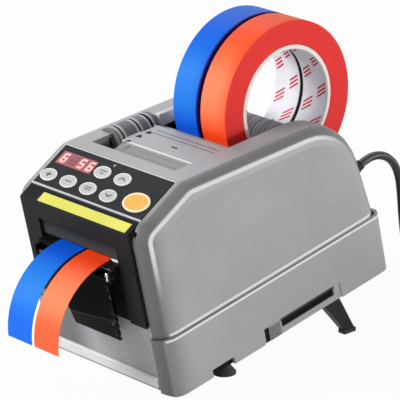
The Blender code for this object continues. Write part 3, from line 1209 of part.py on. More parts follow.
def build_switch():
    here = rear_point(SWITCH_X, SWITCH_Z)
    black = material("switch_black", BLACK, 0.4)
    rim = SWITCH_RIM
    flange = box_mesh((-SWITCH_HALF[0], GAP, -SWITCH_HALF[1]), (SWITCH_HALF[0], GAP + rim, SWITCH_HALF[1]))
    frame = to_object(flange, "switch_frame", black, MACHINE, here, REAR_LEAN)
    wide, tall = ROCKER_HALF[0] + rim / 2 - GAP, ROCKER_HALF[1] + rim / 2 - GAP
    body = box_mesh((-wide, -SWITCH_DEPTH, -tall), (wide, GAP + rim / 2, tall))
    join(frame, body, "switch_body", here, REAR_LEAN)
    wide, tall = ROCKER_HALF[0] + GAP, ROCKER_HALF[1] + GAP
    well = ROCKER_REAR - WELL_ROOM
    cut_box(frame, "switch_well", (-wide, well, -tall), (wide, OVERRUN, tall), here, REAR_LEAN)
    half = ROCKER_HALF[1] - ROCKER_SWING
    outline = [(ROCKER_REAR, -half), (ROCKER_REAR, half), (rim + ROCKER_NOSE / 2, half), (rim, 0.0),
               (rim + ROCKER_NOSE, -half)]
    to_object(prism_mesh(outline, -ROCKER_HALF[0], ROCKER_HALF[0], "X"), "power_rocker",
              material("rocker_black", (0.03, 0.03, 0.03), 0.35), MACHINE, here, REAR_LEAN)


def build_strain_relief():
    """Tapered sleeve in the rear wall; the cord starts where it ends."""
    outer = GAP + RELIEF_FLANGE_THICK
    profile = [(0.0, RELIEF_OUT), (RELIEF_TIP, RELIEF_OUT), (RELIEF_NECK, outer), (RELIEF_FLANGE, outer),
               (RELIEF_FLANGE, GAP), (RELIEF_NECK, GAP), (RELIEF_TIP, -RELIEF_IN), (0.0, -RELIEF_IN)]
    turned("strain_relief", profile, material("cord_black", (0.012, 0.012, 0.013), 0.5),
           rear_point(RELIEF_X, RELIEF_Z), 20, tip=REAR_LEAN - pi / 2, along_x=False)


# The cord's free stretch, on the surface that the machine stands on: x, y, z in millimetres
CORD_ROUTE_MM = [
    (50.6, 124.1, 117.4), (50.6, 127.8, 118.8), (50.6, 134.0, 120.2), (50.6, 141.5, 119.7),
    (50.7, 148.8, 116.8), (50.8, 155.0, 111.6), (50.9, 159.3, 104.6), (51.0, 161.9, 96.0),
    (51.2, 163.4, 84.0), (51.4, 164.5, 70.0), (51.7, 166.2, 56.0), (52.1, 168.9, 42.0),
    (52.6, 172.0, 30.0), (53.0, 175.2, 20.8), (53.5, 179.8, 13.6), (54.0, 186.0, 8.3),
    (54.5, 193.2, 5.2), (54.7, 199.5, 4.2), (54.75, 205.5, 4.1), (54.75, 213.7, 4.1)]
CORD_RADIUS = CORD_DIAMETER / 2


def smooth_curve(points, spacing):
    """Evenly spaced places on one smooth curve through the given points."""
    padded = [2 * points[0] - points[1]] + points + [2 * points[-1] - points[-2]]
    fine = []
    for before, one, two, after in zip(padded, padded[1:], padded[2:], padded[3:]):
        for step in range(CURVE_STEPS):
            t = step / CURVE_STEPS
            fine.append((2 * one + (two - before) * t + (2 * before - 5 * one + 4 * two - after) * t ** 2
                         + (3 * one - before - 3 * two + after) * t ** 3) / 2)
    fine.append(points[-1])
    reached = [0.0]
    for one, two in zip(fine, fine[1:]):
        reached.append(reached[-1] + (two - one).length)
    count = round(reached[-1] / spacing)
    even = []
    index = 0
    for step in range(count + 1):
        target = reached[-1] * step / count
        while index < len(fine) - 2 and reached[index + 1] < target:
            index += 1
        share = (target - reached[index]) / (reached[index + 1] - reached[index])
        even.append(fine[index].lerp(fine[index + 1], share))
    return even


def coil_heights():
    """Heights of the middle of the cord in the coil's lower and upper layer."""
    low = TIE_WALL + GAP + CORD_RADIUS
    return low, low + CORD_DIAMETER + COIL_GAP


def coil_reach():
    """Radius of the innermost and of the outermost turn."""
    spread = COIL_LAYER_TURNS * (CORD_DIAMETER + COIL_GAP)
    return COIL_MEAN - spread / 2, COIL_MEAN + spread / 2


def coil_points():
    """Spiral in along the floor, climb a layer in half a turn, spiral out again; both ends straight."""
    pitch = CORD_DIAMETER + COIL_GAP
    inner, outer = coil_reach()
    low, high = coil_heights()
    total = 2 * COIL_LAYER_TURNS + COIL_CLIMB_TURNS
    points = []
    for step in range(round(total * COIL_LOOP_POINTS) + 1):
        turns = step / COIL_LOOP_POINTS
        share = min(max((turns - COIL_LAYER_TURNS) / COIL_CLIMB_TURNS, 0.0), 1.0)
        radius = inner - COIL_DIP * sin(pi * share)
        radius += pitch * (max(COIL_LAYER_TURNS - turns, 0.0)
                           + max(turns - COIL_LAYER_TURNS - COIL_CLIMB_TURNS, 0.0))
        angle = pi - 2 * pi * turns
        points.append(Vector((COIL_CENTRE[0] + radius * cos(angle), COIL_CENTRE[1] + radius * sin(angle),
                              low + (high - low) * share)))
    lead = Vector((0.0, CORD_DIAMETER, 0.0))
    return [points[0] - lead] + points + [points[-1] - lead]


def least_gap(points):
    """The least free space between turns, from the points that lie at least half a turn apart."""
    apart = COIL_LOOP_POINTS // 2
    nearest = min((two - one).length for index, one in enumerate(points) for two in points[index + apart:])
    return nearest - CORD_DIAMETER


def tube(name, points, mat, resolution):
    curve = bpy.data.curves.new(name, "CURVE")
    curve.dimensions = "3D"
    curve.bevel_depth = CORD_RADIUS
    curve.bevel_resolution = resolution
    curve.use_fill_caps = True
    spline = curve.splines.new("POLY")
    spline.points.add(len(points) - 1)
    for spot, point in zip(spline.points, points):
        spot.co = (*point, 1.0)
    curve.materials.append(mat)
    PARTS.objects.link(bpy.data.objects.new(name, curve))


def build_cord():
    black = material("cord_black", (0.012, 0.012, 0.013), 0.5)
    route = [Vector(point) * MILLIMETRE for point in CORD_ROUTE_MM]
    lead = smooth_curve(route, CORD_SPACING)
    tube("power_cord", lead, black, 2)
    turns = coil_points()
    tube("cord_coil", turns, black, 1)
    length = sum((two - one).length for line in (lead, turns) for one, two in zip(line, line[1:]))
    print("cord length", round(length, 3), "least gap in the coil", round(least_gap(turns), 5))
    build_tie(black)
    build_plug(black)


def build_tie(black):
    """Band round the six strands on the coil's front side."""
    inner, outer = coil_reach()
    quarter = (CORD_DIAMETER + COIL_GAP) / 4
    near = inner + quarter - CORD_RADIUS - TIE_SLACK
    far = outer - 3 * quarter + CORD_RADIUS + TIE_SLACK
    top = coil_heights()[1] + CORD_RADIUS + TIE_SLACK
    wall = TIE_WALL
    place = Vector((COIL_CENTRE[0], COIL_CENTRE[1], 0.0))
    outside = box_mesh((-TIE_HALF, -far - wall, 0.0), (TIE_HALF, -near + wall, top + wall))
    inside = box_mesh((-TIE_HALF - OVERRUN, -far, wall), (TIE_HALF + OVERRUN, -near, top))
    band = to_object(outside, "cord_tie", black, None, place)
    boolean(band, to_object(inside, "tie_hole", None, None, place))


def build_plug(black):
    high = coil_heights()[1]
    place = Vector((COIL_CENTRE[0] + coil_reach()[1], COIL_CENTRE[1] - CORD_DIAMETER - GAP, high))
    end = -PLUG_NOSE - PLUG_LENGTH
    body = soften(box_mesh((-PLUG_HALF_WIDTH, end, -high), (PLUG_HALF_WIDTH, -PLUG_NOSE, high)), PLUG_EDGE, 2)
    plug = to_object(body, "plug", black, None, place)

    def add(bm, name):
        boolean(plug, to_object(bm, name, None, None, place), "UNION")

    root = (0, -PLUG_NOSE - PLUG_EDGE, 0)
    add(rod_mesh(PLUG_ROOT_RADIUS, root, (0, 0, 0), 16, PLUG_NOSE_RADIUS), "plug_nose")
    thick, wide, long = BLADE_PIN
    for side, way in both_sides():
        low, high_corner = side_box(((BLADE_PIN_APART - thick) / 2, (BLADE_PIN_APART + thick) / 2),
                                    (end - long, end + PLUG_EDGE), (0.0, wide), way)
        add(box_mesh(low, high_corner), f"flat_pin_{side}")
    drop = -GROUND_PIN_DROP
    add(rod_mesh(GROUND_PIN_RADIUS, (0, end - long, drop), (0, end + PLUG_EDGE, drop), 12), "ground_pin")


def centre_on_floor():
    """Slide the stand so that the box round the part is centred over the origin and touches the floor."""
    bpy.context.view_layer.update()
    graph = bpy.context.evaluated_depsgraph_get()
    points = [obj.matrix_world @ vert.co for obj in PARTS.objects if obj.type == "MESH"
              for vert in obj.evaluated_get(graph).data.vertices]
    low = [min(point[axis] for point in points) for axis in range(3)]
    high = [max(point[axis] for point in points) for axis in range(3)]
    STAND.location = (-(low[0] + high[0]) / 2, -(low[1] + high[1]) / 2, -low[2])
    bpy.context.view_layer.update()


def main():
    global STAND, MACHINE
    clear_scene()
    STAND = empty("stand")
    lift = FOOT_DROP * cos(TILT) - FOOT_Y * sin(TILT)
    MACHINE = empty("machine", STAND, (0.0, 0.0, lift), TILT)
    for build in (build_base, build_housing, build_keypad, build_front_cover, build_outlet, build_lower_front,
                  build_feet, build_legs, build_chassis, build_tray, build_rollers, build_rolls, build_strips,
                  build_feed, build_cutter, build_lid, build_electrics):
        build()
    centre_on_floor()
    world = MACHINE.matrix_world
    out = Vector((0.0, cos(REAR_LEAN), sin(REAR_LEAN)))
    exit_point = rear_point(RELIEF_X, RELIEF_Z) + out * (RELIEF_OUT + GAP)
    print("cord exit", [round(v, 6) for v in world @ exit_point])
    build_cord()


main()
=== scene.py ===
"""Looks of the electric tape dispenser: mouldings, keypad, tapes, rollers, cover, legs and mains lead.

Metres. The machine is laid out level in its own frame, x to the right, y to the back and z up from the
skirt's lower edge; MACHINE turns that frame onto the stand, nose down.
"""

import json
from math import cos, pi, radians, sin, tan

import bmesh
import bpy
from mathutils import Matrix, Vector


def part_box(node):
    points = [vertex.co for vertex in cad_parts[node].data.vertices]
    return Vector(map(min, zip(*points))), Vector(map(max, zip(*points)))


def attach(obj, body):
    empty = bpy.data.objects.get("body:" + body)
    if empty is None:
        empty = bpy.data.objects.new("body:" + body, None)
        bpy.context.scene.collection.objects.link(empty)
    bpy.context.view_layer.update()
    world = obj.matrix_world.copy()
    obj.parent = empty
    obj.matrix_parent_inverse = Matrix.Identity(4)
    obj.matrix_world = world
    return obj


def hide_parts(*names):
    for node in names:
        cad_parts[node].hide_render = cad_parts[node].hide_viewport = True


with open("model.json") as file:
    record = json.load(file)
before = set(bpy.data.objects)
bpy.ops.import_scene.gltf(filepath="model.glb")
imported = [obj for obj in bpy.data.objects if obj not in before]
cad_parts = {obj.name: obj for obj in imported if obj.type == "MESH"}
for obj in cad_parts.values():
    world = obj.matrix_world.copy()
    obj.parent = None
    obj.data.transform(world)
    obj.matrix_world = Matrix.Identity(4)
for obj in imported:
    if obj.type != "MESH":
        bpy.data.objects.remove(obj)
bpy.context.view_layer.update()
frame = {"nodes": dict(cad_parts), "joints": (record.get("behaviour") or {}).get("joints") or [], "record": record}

NODES = frame["nodes"]
JOINTS = {joint["name"]: joint for joint in frame["joints"]}

# Stance: the feed roller's axis fixes where the level frame lies
TILT = radians(12.0)
FEED_AXIS = Vector((0.0, 0.075, 0.0866))
LEAN = Matrix.Rotation(TILT, 4, "X")
MACHINE = Matrix.Translation(Vector(JOINTS["feed_spin"]["pos_m"]) - LEAN.to_3x3() @ FEED_AXIS) @ LEAN

# Planes of the housing
GAP = 0.0003            # a hair's breadth: room beside a piece, and its smallest rounding
BASE_WIDTH = 0.140
BASE_LENGTH = 0.209
BASE_HEIGHT = 0.044
SHELL_STEP = 0.0016
HALF_HOUSING = BASE_WIDTH / 2 - SHELL_STEP
SLOPE_FOOT = 0.124
KEYPAD_SLOPE = radians(20.6)
RIDGE_Y = 0.048
RIDGE_Z = SLOPE_FOOT + RIDGE_Y * tan(KEYPAD_SLOPE)
TOP_SLOPE = radians(6.0)
REAR_LEAN = radians(8.1)
KEYPAD = MACHINE @ Matrix.Translation((0.0, 0.0, SLOPE_FOOT)) @ Matrix.Rotation(KEYPAD_SLOPE, 4, "X")
TOP = MACHINE @ Matrix.Translation((0.0, RIDGE_Y, RIDGE_Z)) @ Matrix.Rotation(-TOP_SLOPE, 4, "X")

# Where the painted shade, highlights and glints on the mouldings lie
RIM_PAINTED_SHADE = (0.0036, 0.0080)                     # in from the housing's side
CORNER_PAINTED_SHADE = (0.0040, 0.0105)
RIM_PAINTED_HIGHLIGHT = (0.0014, 0.0021)
SEAM_PAINTED_HIGHLIGHTS = ((0.0452, 0.0470), (0.0422, 0.0436))
LEG_SLOT = (0.1025, 0.1540)                     # front to back
SLOT_PAINTED_SHADOW = (0.0095, 0.0116)                  # upwards
LID_STEP = (0.0288, 0.0303)                     # along the top
STEP_PAINTED_LIGHT = (0.0290, 0.0300)
KNUCKLE_GAPS = (0.033, 0.048, 0.059)
BARREL_EDGE = -0.0352                           # across the top
RIB_PITCH = 0.0025
DRUM_PITCH = 0.0021
FLAP_FOLD = 0.0513
FLAP_FOLD_RISE = 0.12
FRAYED_EDGE = (0.0298, 0.0340)
SOFT = 0.0003                                   # width over which a painted edge fades


def rear_plane(x, z):
    """Frame on the housing's rear face: x across, y out of it, z up it."""
    back = BASE_LENGTH - SHELL_STEP - tan(REAR_LEAN) * (z - BASE_HEIGHT)
    return MACHINE @ Matrix.Translation((x, back, z)) @ Matrix.Rotation(REAR_LEAN, 4, "X")


def tint(code):
    """Linear colour from six hex digits as seen on a screen."""
    parts = [int(code[at:at + 2], 16) / 255 for at in (0, 2, 4)]
    return tuple(part / 12.92 if part <= 0.04045 else ((part + 0.055) / 1.055) ** 2.4 for part in parts)


class Value:
    """A shader socket; arithmetic on values adds Math nodes."""

    def __init__(self, finish, socket):
        self.finish = finish
        self.socket = socket

    def __add__(self, other):
        return self.finish.maths("ADD", self, other)

    def __sub__(self, other):
        return self.finish.maths("SUBTRACT", self, other)

    def __rsub__(self, other):
        return self.finish.maths("SUBTRACT", other, self)

    def __mul__(self, other):
        return self.finish.maths("MULTIPLY", self, other)

    __radd__ = __add__
    __rmul__ = __mul__

    def apply(self, operation, other=0.0):
        """Any other Math operation on this value."""
        return self.finish.maths(operation, self, other)

    def within(self, low, high):
        """0 below low, 1 above high and a soft step between."""
        settings = {"interpolation_type": "SMOOTHSTEP"}
        sockets = {"Value": self, "From Min": low, "From Max": high}
        return self.finish.node("ShaderNodeMapRange", settings, sockets, "Result")


MIX_ONE, MIX_TWO, MIX_RESULT = 6, 7, 2         # a Mix node's sockets for colours


class Finish:
    """A material built round one Principled shader."""

    def __init__(self, name, colour, roughness, metallic=0.0, **sockets):
        self.material = bpy.data.materials.new(name)
        self.material.use_nodes = True
        self.tree = self.material.node_tree
        self.shader = self.tree.nodes["Principled BSDF"]
        self.colour = colour
        self.put("Base Color", colour)
        self.put("Roughness", roughness)
        self.put("Metallic", metallic)
        for socket, value in sockets.items():
            self.put(socket.replace("_", " "), value)

    def feed(self, socket, value):
        if isinstance(value, Value):
            self.tree.links.new(value.socket, socket)
        elif hasattr(value, "__len__") and len(value) == 3 and socket.type == "RGBA":
            socket.default_value = (*value, 1.0)
        else:
            socket.default_value = value

    def put(self, name, value):
        self.feed(self.shader.inputs[name], value)

    def node(self, kind, settings, sockets, output=0):
        """Add a node: its settings first, then its sockets' values or links."""
        made = self.tree.nodes.new(kind)
        for name, value in settings.items():
            setattr(made, name, value)
        for name, value in sockets.items():
            self.feed(made.inputs[name], value)
        return Value(self, made.outputs[output])

    def maths(self, operation, one, two):
        return self.node("ShaderNodeMath", {"operation": operation}, {0: one, 1: two})

    def place(self):
        """Where a point of the surface is, in the stand's frame."""
        return self.node("ShaderNodeTexCoord", {}, {}, "Object")

    def level(self, matrix=MACHINE, stretch=(1.0, 1.0, 1.0)):
        """Where it is in the machine's level frame, or in another, with a stretch that draws a pattern out."""
        centre, turn, _ = matrix.decompose()
        sockets = {"Vector": self.place(), "Location": centre, "Rotation": turn.to_euler(), "Scale": stretch}
        return self.node("ShaderNodeMapping", {"vector_type": "TEXTURE"}, sockets)

    def split(self, where):
        parts = self.node("ShaderNodeSeparateXYZ", {}, {"Vector": where})
        return [Value(self, socket) for socket in parts.socket.node.outputs]

    def noise(self, where, scale, detail=2.0, roughness=0.5):
        sockets = {"Vector": where, "Scale": scale, "Detail": detail, "Roughness": roughness}
        return self.node("ShaderNodeTexNoise", {}, sockets, "Fac")

    def blend(self, share, one, two):
        """One colour going over to another as share goes from 0 to 1."""
        sockets = {"Factor": share, MIX_ONE: one, MIX_TWO: two}
        return self.node("ShaderNodeMix", {"data_type": "RGBA"}, sockets, MIX_RESULT)

    def bump(self, height, strength, distance, under=None):
        sockets = {"Height": height, "Strength": strength, "Distance": distance}
        if under:
            sockets["Normal"] = under
        return self.node("ShaderNodeBump", {}, sockets)

    def soft_edges(self, radius):
        """Normals turned over sharp edges as on a moulding with a small radius."""
        return self.node("ShaderNodeBevel", {"samples": 6}, {"Radius": radius})


# Finishes
def shade(colour, factor):
    return tuple(part * factor for part in colour)


def between(value, low, high, soft):
    """1 from low to high, fading to 0 over a soft width outside."""
    return value.within(low - soft, low) * (1.0 - value.within(high, high + soft))


def rim_painted_shade_and_highlights(finish, colour):
    """Painted shade on the rims and front corner, painted highlights as pale lines under the rims and along the seam,
    and painted shadow over the leg slots.
    """
    x, y, z = finish.split(finish.level())
    inset = HALF_HOUSING - x.apply("ABSOLUTE")
    outside = 1.0 - inset.within(0.0010, 0.0020)
    corner = between(inset, *CORNER_PAINTED_SHADE, 0.0015) * (1.0 - y.within(0.006, 0.020))
    band = between(inset, *RIM_PAINTED_SHADE, 0.0022).apply("MAXIMUM", corner)
    front = (1.0 - y.within(0.003, 0.026)) * x.within(0.050, 0.058)
    line = between(inset, *RIM_PAINTED_HIGHLIGHT, 2 * SOFT) * z.within(0.070, 0.115) * (1.0 - y.within(0.160, 0.195))
    upper, lower = SEAM_PAINTED_HIGHLIGHTS
    seam = between(z, *upper, SOFT) + between(z, *lower, SOFT)
    slot = between(y, *LEG_SLOT, SOFT) * between(z, *SLOT_PAINTED_SHADOW, SOFT)
    # Painted shade on the rims and corner, painted highlights on the rims and seam, painted shadow over the slots
    colour = finish.blend(band * 0.80, colour, tint("6C6D6F"))
    colour = finish.blend(front * 0.40, colour, tint("38393B"))
    colour = finish.blend(line, colour, tint("F4F5F6"))
    colour = finish.blend(seam * outside, colour, tint("E9EAEB"))
    return finish.blend(slot * outside, colour, tint("0A0A0B"))


def lid_and_barrel_painted_light(finish, colour):
    """Painted light on the lid behind its step and painted shade in front of it; painted shade on the hinge's
    knuckles with painted highlights on their rims at the gaps.
    """
    across, back, _ = finish.split(finish.level(TOP))
    aside = 1.0
    for split in KNUCKLE_GAPS:
        aside = (back - split).apply("ABSOLUTE").apply("MINIMUM", aside)
    barrel = 1.0 - across.within(BARREL_EDGE - 0.0008, BARREL_EDGE)
    # Painted light behind the step, painted shade in front of it and on the knuckles, painted highlights at the gaps
    behind = back.within(*STEP_PAINTED_LIGHT)
    colour = finish.blend(behind * 0.35, colour, tint("D6D7D8"))
    colour = finish.blend((1.0 - behind) * 0.22, colour, tint("6C6D6F"))
    colour = finish.blend(barrel, colour, tint("707173"))
    return finish.blend(barrel * between(aside, 0.0009, 0.0026, 0.0004), colour, tint("C0C1C3"))


def lip_shades(finish, colour):
    """The pale strip's lower edge lies in shade."""
    _, _, z = finish.split(finish.level())
    return finish.blend(1.0 - z.within(0.0056, 0.0066), colour, tint("77797B"))


def rib_painted_shade(finish, colour):
    """Painted shade in the grooves between the fine upright ribs, and the tapes' painted shadow on the left."""
    x, _, _ = finish.split(finish.level())
    share = (x * (1.0 / RIB_PITCH)).apply("FRACT")
    colour = finish.blend(between(share, 0.36, 0.64, 0.06), colour, tint("7C7D7F"))
    return finish.blend((1.0 - x.within(-0.034, -0.006)) * 0.6, colour, tint("3A3B3C"))


def flap_painted_light(finish, colour):
    """A paler turned-up band along the flap's lower edge, painted as lit, a painted highlight on its fold line, and
    painted glints on its frayed right edge.
    """
    x, _, z = finish.split(finish.level())
    above = z - x * FLAP_FOLD_RISE - FLAP_FOLD
    fold = between(above, -0.0004, 0.0004, 0.0004)
    painted_glints = finish.noise(finish.level(stretch=(1.0, 1.0, 1.6)), 620.0, 2.0, 0.6).within(0.60, 0.70)
    painted_glints = painted_glints * between(x, *FRAYED_EDGE, 0.0012) * (1.0 - z.within(0.082, 0.090))
    colour = finish.blend(1.0 - above.within(-SOFT, SOFT), colour, tint("1E1E1F"))
    colour = finish.blend(fold, colour, tint("323334"))
    return finish.blend(painted_glints, colour, tint("8C8E90"))


def hood_shades(finish, _):
    """The hood's plate is deepest at its top, in the cover's shade."""
    _, _, z = finish.split(finish.level())
    return finish.blend(z.within(0.0995, 0.1120), tint("3E3F41"), tint("19191B"))


def drum_painted_groove_shade(finish, colour):
    """Painted shade in fine grooves round the drum."""
    x, _, _ = finish.split(finish.level())
    groove = (x * (1.0 / DRUM_PITCH)).apply("FRACT")
    return finish.blend(1.0 - between(groove, 0.30, 0.90, 0.10), colour, tint("2E2F34"))


def moulded(name, code, roughness, grain=0.35, edge=0.0006, cloud=0.05, over=None, **sockets):
    """Moulded plastic: fine spark-eroded grain, faint cloudiness, slightly worn sheen and what goes over it."""
    finish = Finish(name, tint(code), roughness, **sockets)
    where = finish.place()
    patches = finish.noise(where, 22.0, 3.0)
    pores = finish.noise(where, 1500.0, 2.0, 0.6)
    dark, light = shade(finish.colour, 1.0 - cloud), shade(finish.colour, 1.0 + cloud)
    colour = finish.blend(patches.within(0.3, 0.7), dark, light)
    finish.put("Base Color", over(finish, colour) if over else colour)
    finish.put("Roughness", roughness + (patches - 0.5) * 0.12 + (pores - 0.5) * 0.10)
    normal = finish.soft_edges(edge) if edge else None
    finish.put("Normal", finish.bump(pores, grain, 0.00006, normal))
    return finish


def metal(name, code, roughness, stretch=(1.0, 1.0, 1.0), edge=0.0003):
    """Metal with fine drawn or ground lines along the short way of the stretch."""
    finish = Finish(name, tint(code), roughness, 1.0)
    lines = finish.noise(finish.level(stretch=stretch), 900.0, 3.0, 0.6)
    stains = finish.noise(finish.place(), 60.0, 3.0)
    finish.put("Base Color", finish.blend(stains, shade(finish.colour, 0.82), shade(finish.colour, 1.1)))
    finish.put("Roughness", roughness + (lines - 0.5) * 0.25 + (stains - 0.5) * 0.1)
    finish.put("Normal", finish.bump(lines, 0.25, 0.00004, finish.soft_edges(edge)))
    return finish


def rubber(name, code, roughness=0.75):
    """Dull rubber or vinyl with a trace of dust."""
    finish = Finish(name, tint(code), roughness)
    dust = finish.noise(finish.place(), 140.0, 4.0, 0.7)
    fine = finish.noise(finish.place(), 1900.0, 2.0)
    finish.put("Base Color", finish.blend(dust.within(0.45, 0.8), finish.colour, shade(finish.colour, 2.0)))
    finish.put("Roughness", roughness + (dust - 0.5) * 0.2)
    finish.put("Normal", finish.bump(fine, 0.4, 0.0001, finish.soft_edges(0.0004)))
    return finish


# Width of the painted shade on a roll's face beside the other roll
EDGE_PAINTED_SHADE = 0.0019          # of a roll's face, beside the other roll


def crepe(name, deep_code, light_code, painted_sheen, edge=None):
    """Creped paper tape: cross wrinkles, a soft sheen, a paler painted sheen where it faces the light, and a painted
    shade on a given edge.
    """
    finish = Finish(name, tint(deep_code), 0.55, Specular_IOR_Level=0.15)
    wrinkles = finish.noise(finish.level(stretch=(0.05, 1.0, 1.0)), 1100.0, 3.0, 0.65)
    patches = finish.noise(finish.place(), 14.0, 2.0)
    share = painted_sheen(finish) * 0.85 + (wrinkles - 0.5) * 0.25 + (patches - 0.5) * 0.20
    colour = finish.blend(share, tint(deep_code), tint(light_code))
    finish.put("Base Color", colour if edge is None else shaded_edge(finish, colour, edge))
    finish.put("Roughness", 0.5 + (wrinkles - 0.5) * 0.3)
    finish.put("Normal", finish.bump(wrinkles, 0.35, 0.00012))
    return finish


def shaded_edge(finish, colour, edge):
    """The last of a roll's face, in the gap between the rolls, painted in shade as deep as its side."""
    x, _, _ = finish.split(finish.level())
    return finish.blend(x.within(edge - EDGE_PAINTED_SHADE, edge - EDGE_PAINTED_SHADE + SOFT), colour, tint("0C1060"))


def wound_face(name, code, centre):
    """The flat side of a wound roll: hundreds of turns seen edge on."""
    finish = Finish(name, tint(code), 0.6, Specular_IOR_Level=0.2)
    _, y, z = finish.split(finish.level(Matrix.Translation(centre)))
    radius = (y * y + z * z).apply("SQRT")
    turns = finish.node("ShaderNodeTexNoise", {"noise_dimensions": "1D"},
                        {"W": radius, "Scale": 2600.0, "Detail": 2.0, "Roughness": 0.7}, "Fac")
    bands = finish.node("ShaderNodeTexNoise", {"noise_dimensions": "1D"},
                        {"W": radius, "Scale": 420.0, "Detail": 2.0}, "Fac")
    share = turns * 0.6 + bands * 0.4
    dark, light = shade(finish.colour, 0.86), shade(finish.colour, 1.08)
    finish.put("Base Color", finish.blend(share.within(0.3, 0.7), dark, light))
    finish.put("Roughness", 0.5 + turns * 0.2)
    finish.put("Normal", finish.bump(share, 0.5, 0.0002))
    return finish


HOUSING = moulded("housing_grey", "A8A9AB", 0.42, over=rim_painted_shade_and_highlights, Specular_IOR_Level=0.4)
LID = moulded("lid_grey", "A0A1A3", 0.52, over=lid_and_barrel_painted_light, Specular_IOR_Level=0.3)
HINGE = moulded("hinge_grey", "8E8F91", 0.50, over=lid_and_barrel_painted_light, Specular_IOR_Level=0.3)
RIBS = moulded("rib_grey", "B0B2B4", 0.5, over=rib_painted_shade)
LIP = moulded("lip_pale", "D4D4D4", 0.35, over=lip_shades)
PALE = moulded("edge_pale", "F2F3F4", 0.30, grain=0.1)
EDGE = moulded("edge_light", "CCCDCF", 0.35, grain=0.1)
BLACK = moulded("cover_black", "1C1C1E", 0.50, grain=0.25, Specular_IOR_Level=0.08)
HOOD = moulded("hood_grey", "2A2B2D", 0.55, grain=0.2, over=hood_shades, Specular_IOR_Level=0.06)
PANEL = moulded("panel_black", "0E0E0F", 0.50, Specular_IOR_Level=0.08)
FLAP = moulded("flap_black", "060607", 0.50, over=flap_painted_light, Specular_IOR_Level=0.02)
# Black for sheets of painted shadow in slots, notches, gaps and the bay, and for the lid's marks and the core spacer
SHADOW = moulded("gap_black", "060607", 0.7, edge=0.0, Specular_IOR_Level=0.1)
CATCH = moulded("catch_grey", "7C7D80", 0.45, Specular_IOR_Level=0.15)
LEG = moulded("leg_dark", "1C1D1F", 0.45, Specular_IOR_Level=0.15)
SWITCH = moulded("switch_black", "121213", 0.3, grain=0.15)
ROCKER = moulded("rocker_black", "18191A", 0.25, grain=0.1)
NYLON = moulded("gear_nylon", "D9D4C2", 0.5)
DRUM = moulded("drum_grey", "B0B2B8", 0.5, edge=0.0003, over=drum_painted_groove_shade, Specular_IOR_Level=0.3)
FOOT = rubber("foot_rubber", "1C1D1E")
GRIP = rubber("roller_rubber", "26282B", 0.65)
SHEATH = rubber("cord_sheath", "151516", 0.40)
STEEL = metal("chassis_zinc", "A9ACB0", 0.42, (1.0, 1.0, 0.05))
GROUND = metal("blade_ground", "D2D4D8", 0.25, (0.05, 1.0, 1.0))
GUIDE = metal("guide_satin", "BCBEC2", 0.35, (0.05, 1.0, 1.0))
BRIGHT = metal("pin_bright", "DADCE0", 0.18)
DARK_PIN = metal("pin_dark", "3A3B3D", 0.45)
CAN = metal("motor_can", "A8AAAE", 0.35, (0.05, 1.0, 1.0))
IRON = metal("transformer_iron", "5A5450", 0.6, (1.0, 0.05, 1.0))
BRASS = metal("contact_brass", "D8B26A", 0.25)
BOARD = moulded("board_green", "1B6B3A", 0.4)


# Mesh tools
WELD = 0.000002
FLAT_WITHIN = radians(0.6)


def finished(bm, name, finishes, body, nodes=(), matrix=MACHINE, sharp=35.0):
    """Turn a bmesh into a piece of the object: placed, painted, riding on its body."""
    bmesh.ops.transform(bm, matrix=matrix, verts=bm.verts)
    mesh = bpy.data.meshes.new(name)
    bm.to_mesh(mesh)
    bm.free()
    for finish in finishes:
        mesh.materials.append(finish.material)
    mesh.shade_smooth()
    mesh.set_sharp_from_angle(angle=radians(sharp))
    piece = bpy.data.objects.new(name, mesh)
    bpy.context.scene.collection.objects.link(piece)
    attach(piece, body)
    if nodes:
        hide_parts(*nodes)
    return piece


def box(low, high, edge=0.0, segments=2):
    """A box between two corners, its edges rounded."""
    bm = bmesh.new()
    low, high = Vector(low), Vector(high)
    place = Matrix.Translation((low + high) / 2) @ Matrix.Diagonal((*(high - low), 1.0))
    bmesh.ops.create_cube(bm, size=1.0, matrix=place)
    if edge:
        rounded(bm, bm.edges, edge, segments)
    return bm


def rounded(bm, edges, width, segments=2):
    """Edges rounded to a width."""
    bmesh.ops.bevel(bm, geom=list(edges), offset=width, offset_type="OFFSET", segments=segments, profile=0.5,
                    affect="EDGES", clamp_overlap=True, material=-1)


def turned(profile, steps=48):
    """A profile of (radius, height) spun round the upright axis."""
    bm = bmesh.new()
    verts = [bm.verts.new((radius, 0.0, height)) for radius, height in profile]
    edges = [bm.edges.new(pair) for pair in zip(verts, verts[1:])]
    bmesh.ops.spin(bm, geom=verts + edges, cent=(0, 0, 0), axis=(0, 0, 1), angle=2 * pi, steps=steps,
                   use_merge=True)
    bmesh.ops.remove_doubles(bm, verts=bm.verts, dist=WELD / 2)
    bmesh.ops.recalc_face_normals(bm, faces=bm.faces)
    return bm


def merge(bm, other):
    """Add another bmesh to this one."""
    mesh = bpy.data.meshes.new("merged")
    other.to_mesh(mesh)
    other.free()
    bm.from_mesh(mesh)
    bpy.data.meshes.remove(mesh)
    return bm


def placed(bm, matrix):
    """The same bmesh, moved."""
    bmesh.ops.transform(bm, matrix=matrix, verts=bm.verts)
    return bm


def cut_plate(points, thick):
    """A flat plate from its outline in x and y, grown upwards."""
    bm = bmesh.new()
    face = bm.faces.new([bm.verts.new((*point, 0.0)) for point in points])
    grown = bmesh.ops.extrude_face_region(bm, geom=[face])
    verts = [item for item in grown["geom"] if isinstance(item, bmesh.types.BMVert)]
    bmesh.ops.translate(bm, verts=verts, vec=(0.0, 0.0, thick))
    bmesh.ops.recalc_face_normals(bm, faces=bm.faces)
    return bm


def hoop(inner, outer, low, high, steps=48):
    """A plain ring round the upright axis."""
    return turned([(inner, low), (outer, low), (outer, high), (inner, high), (inner, low)], steps)


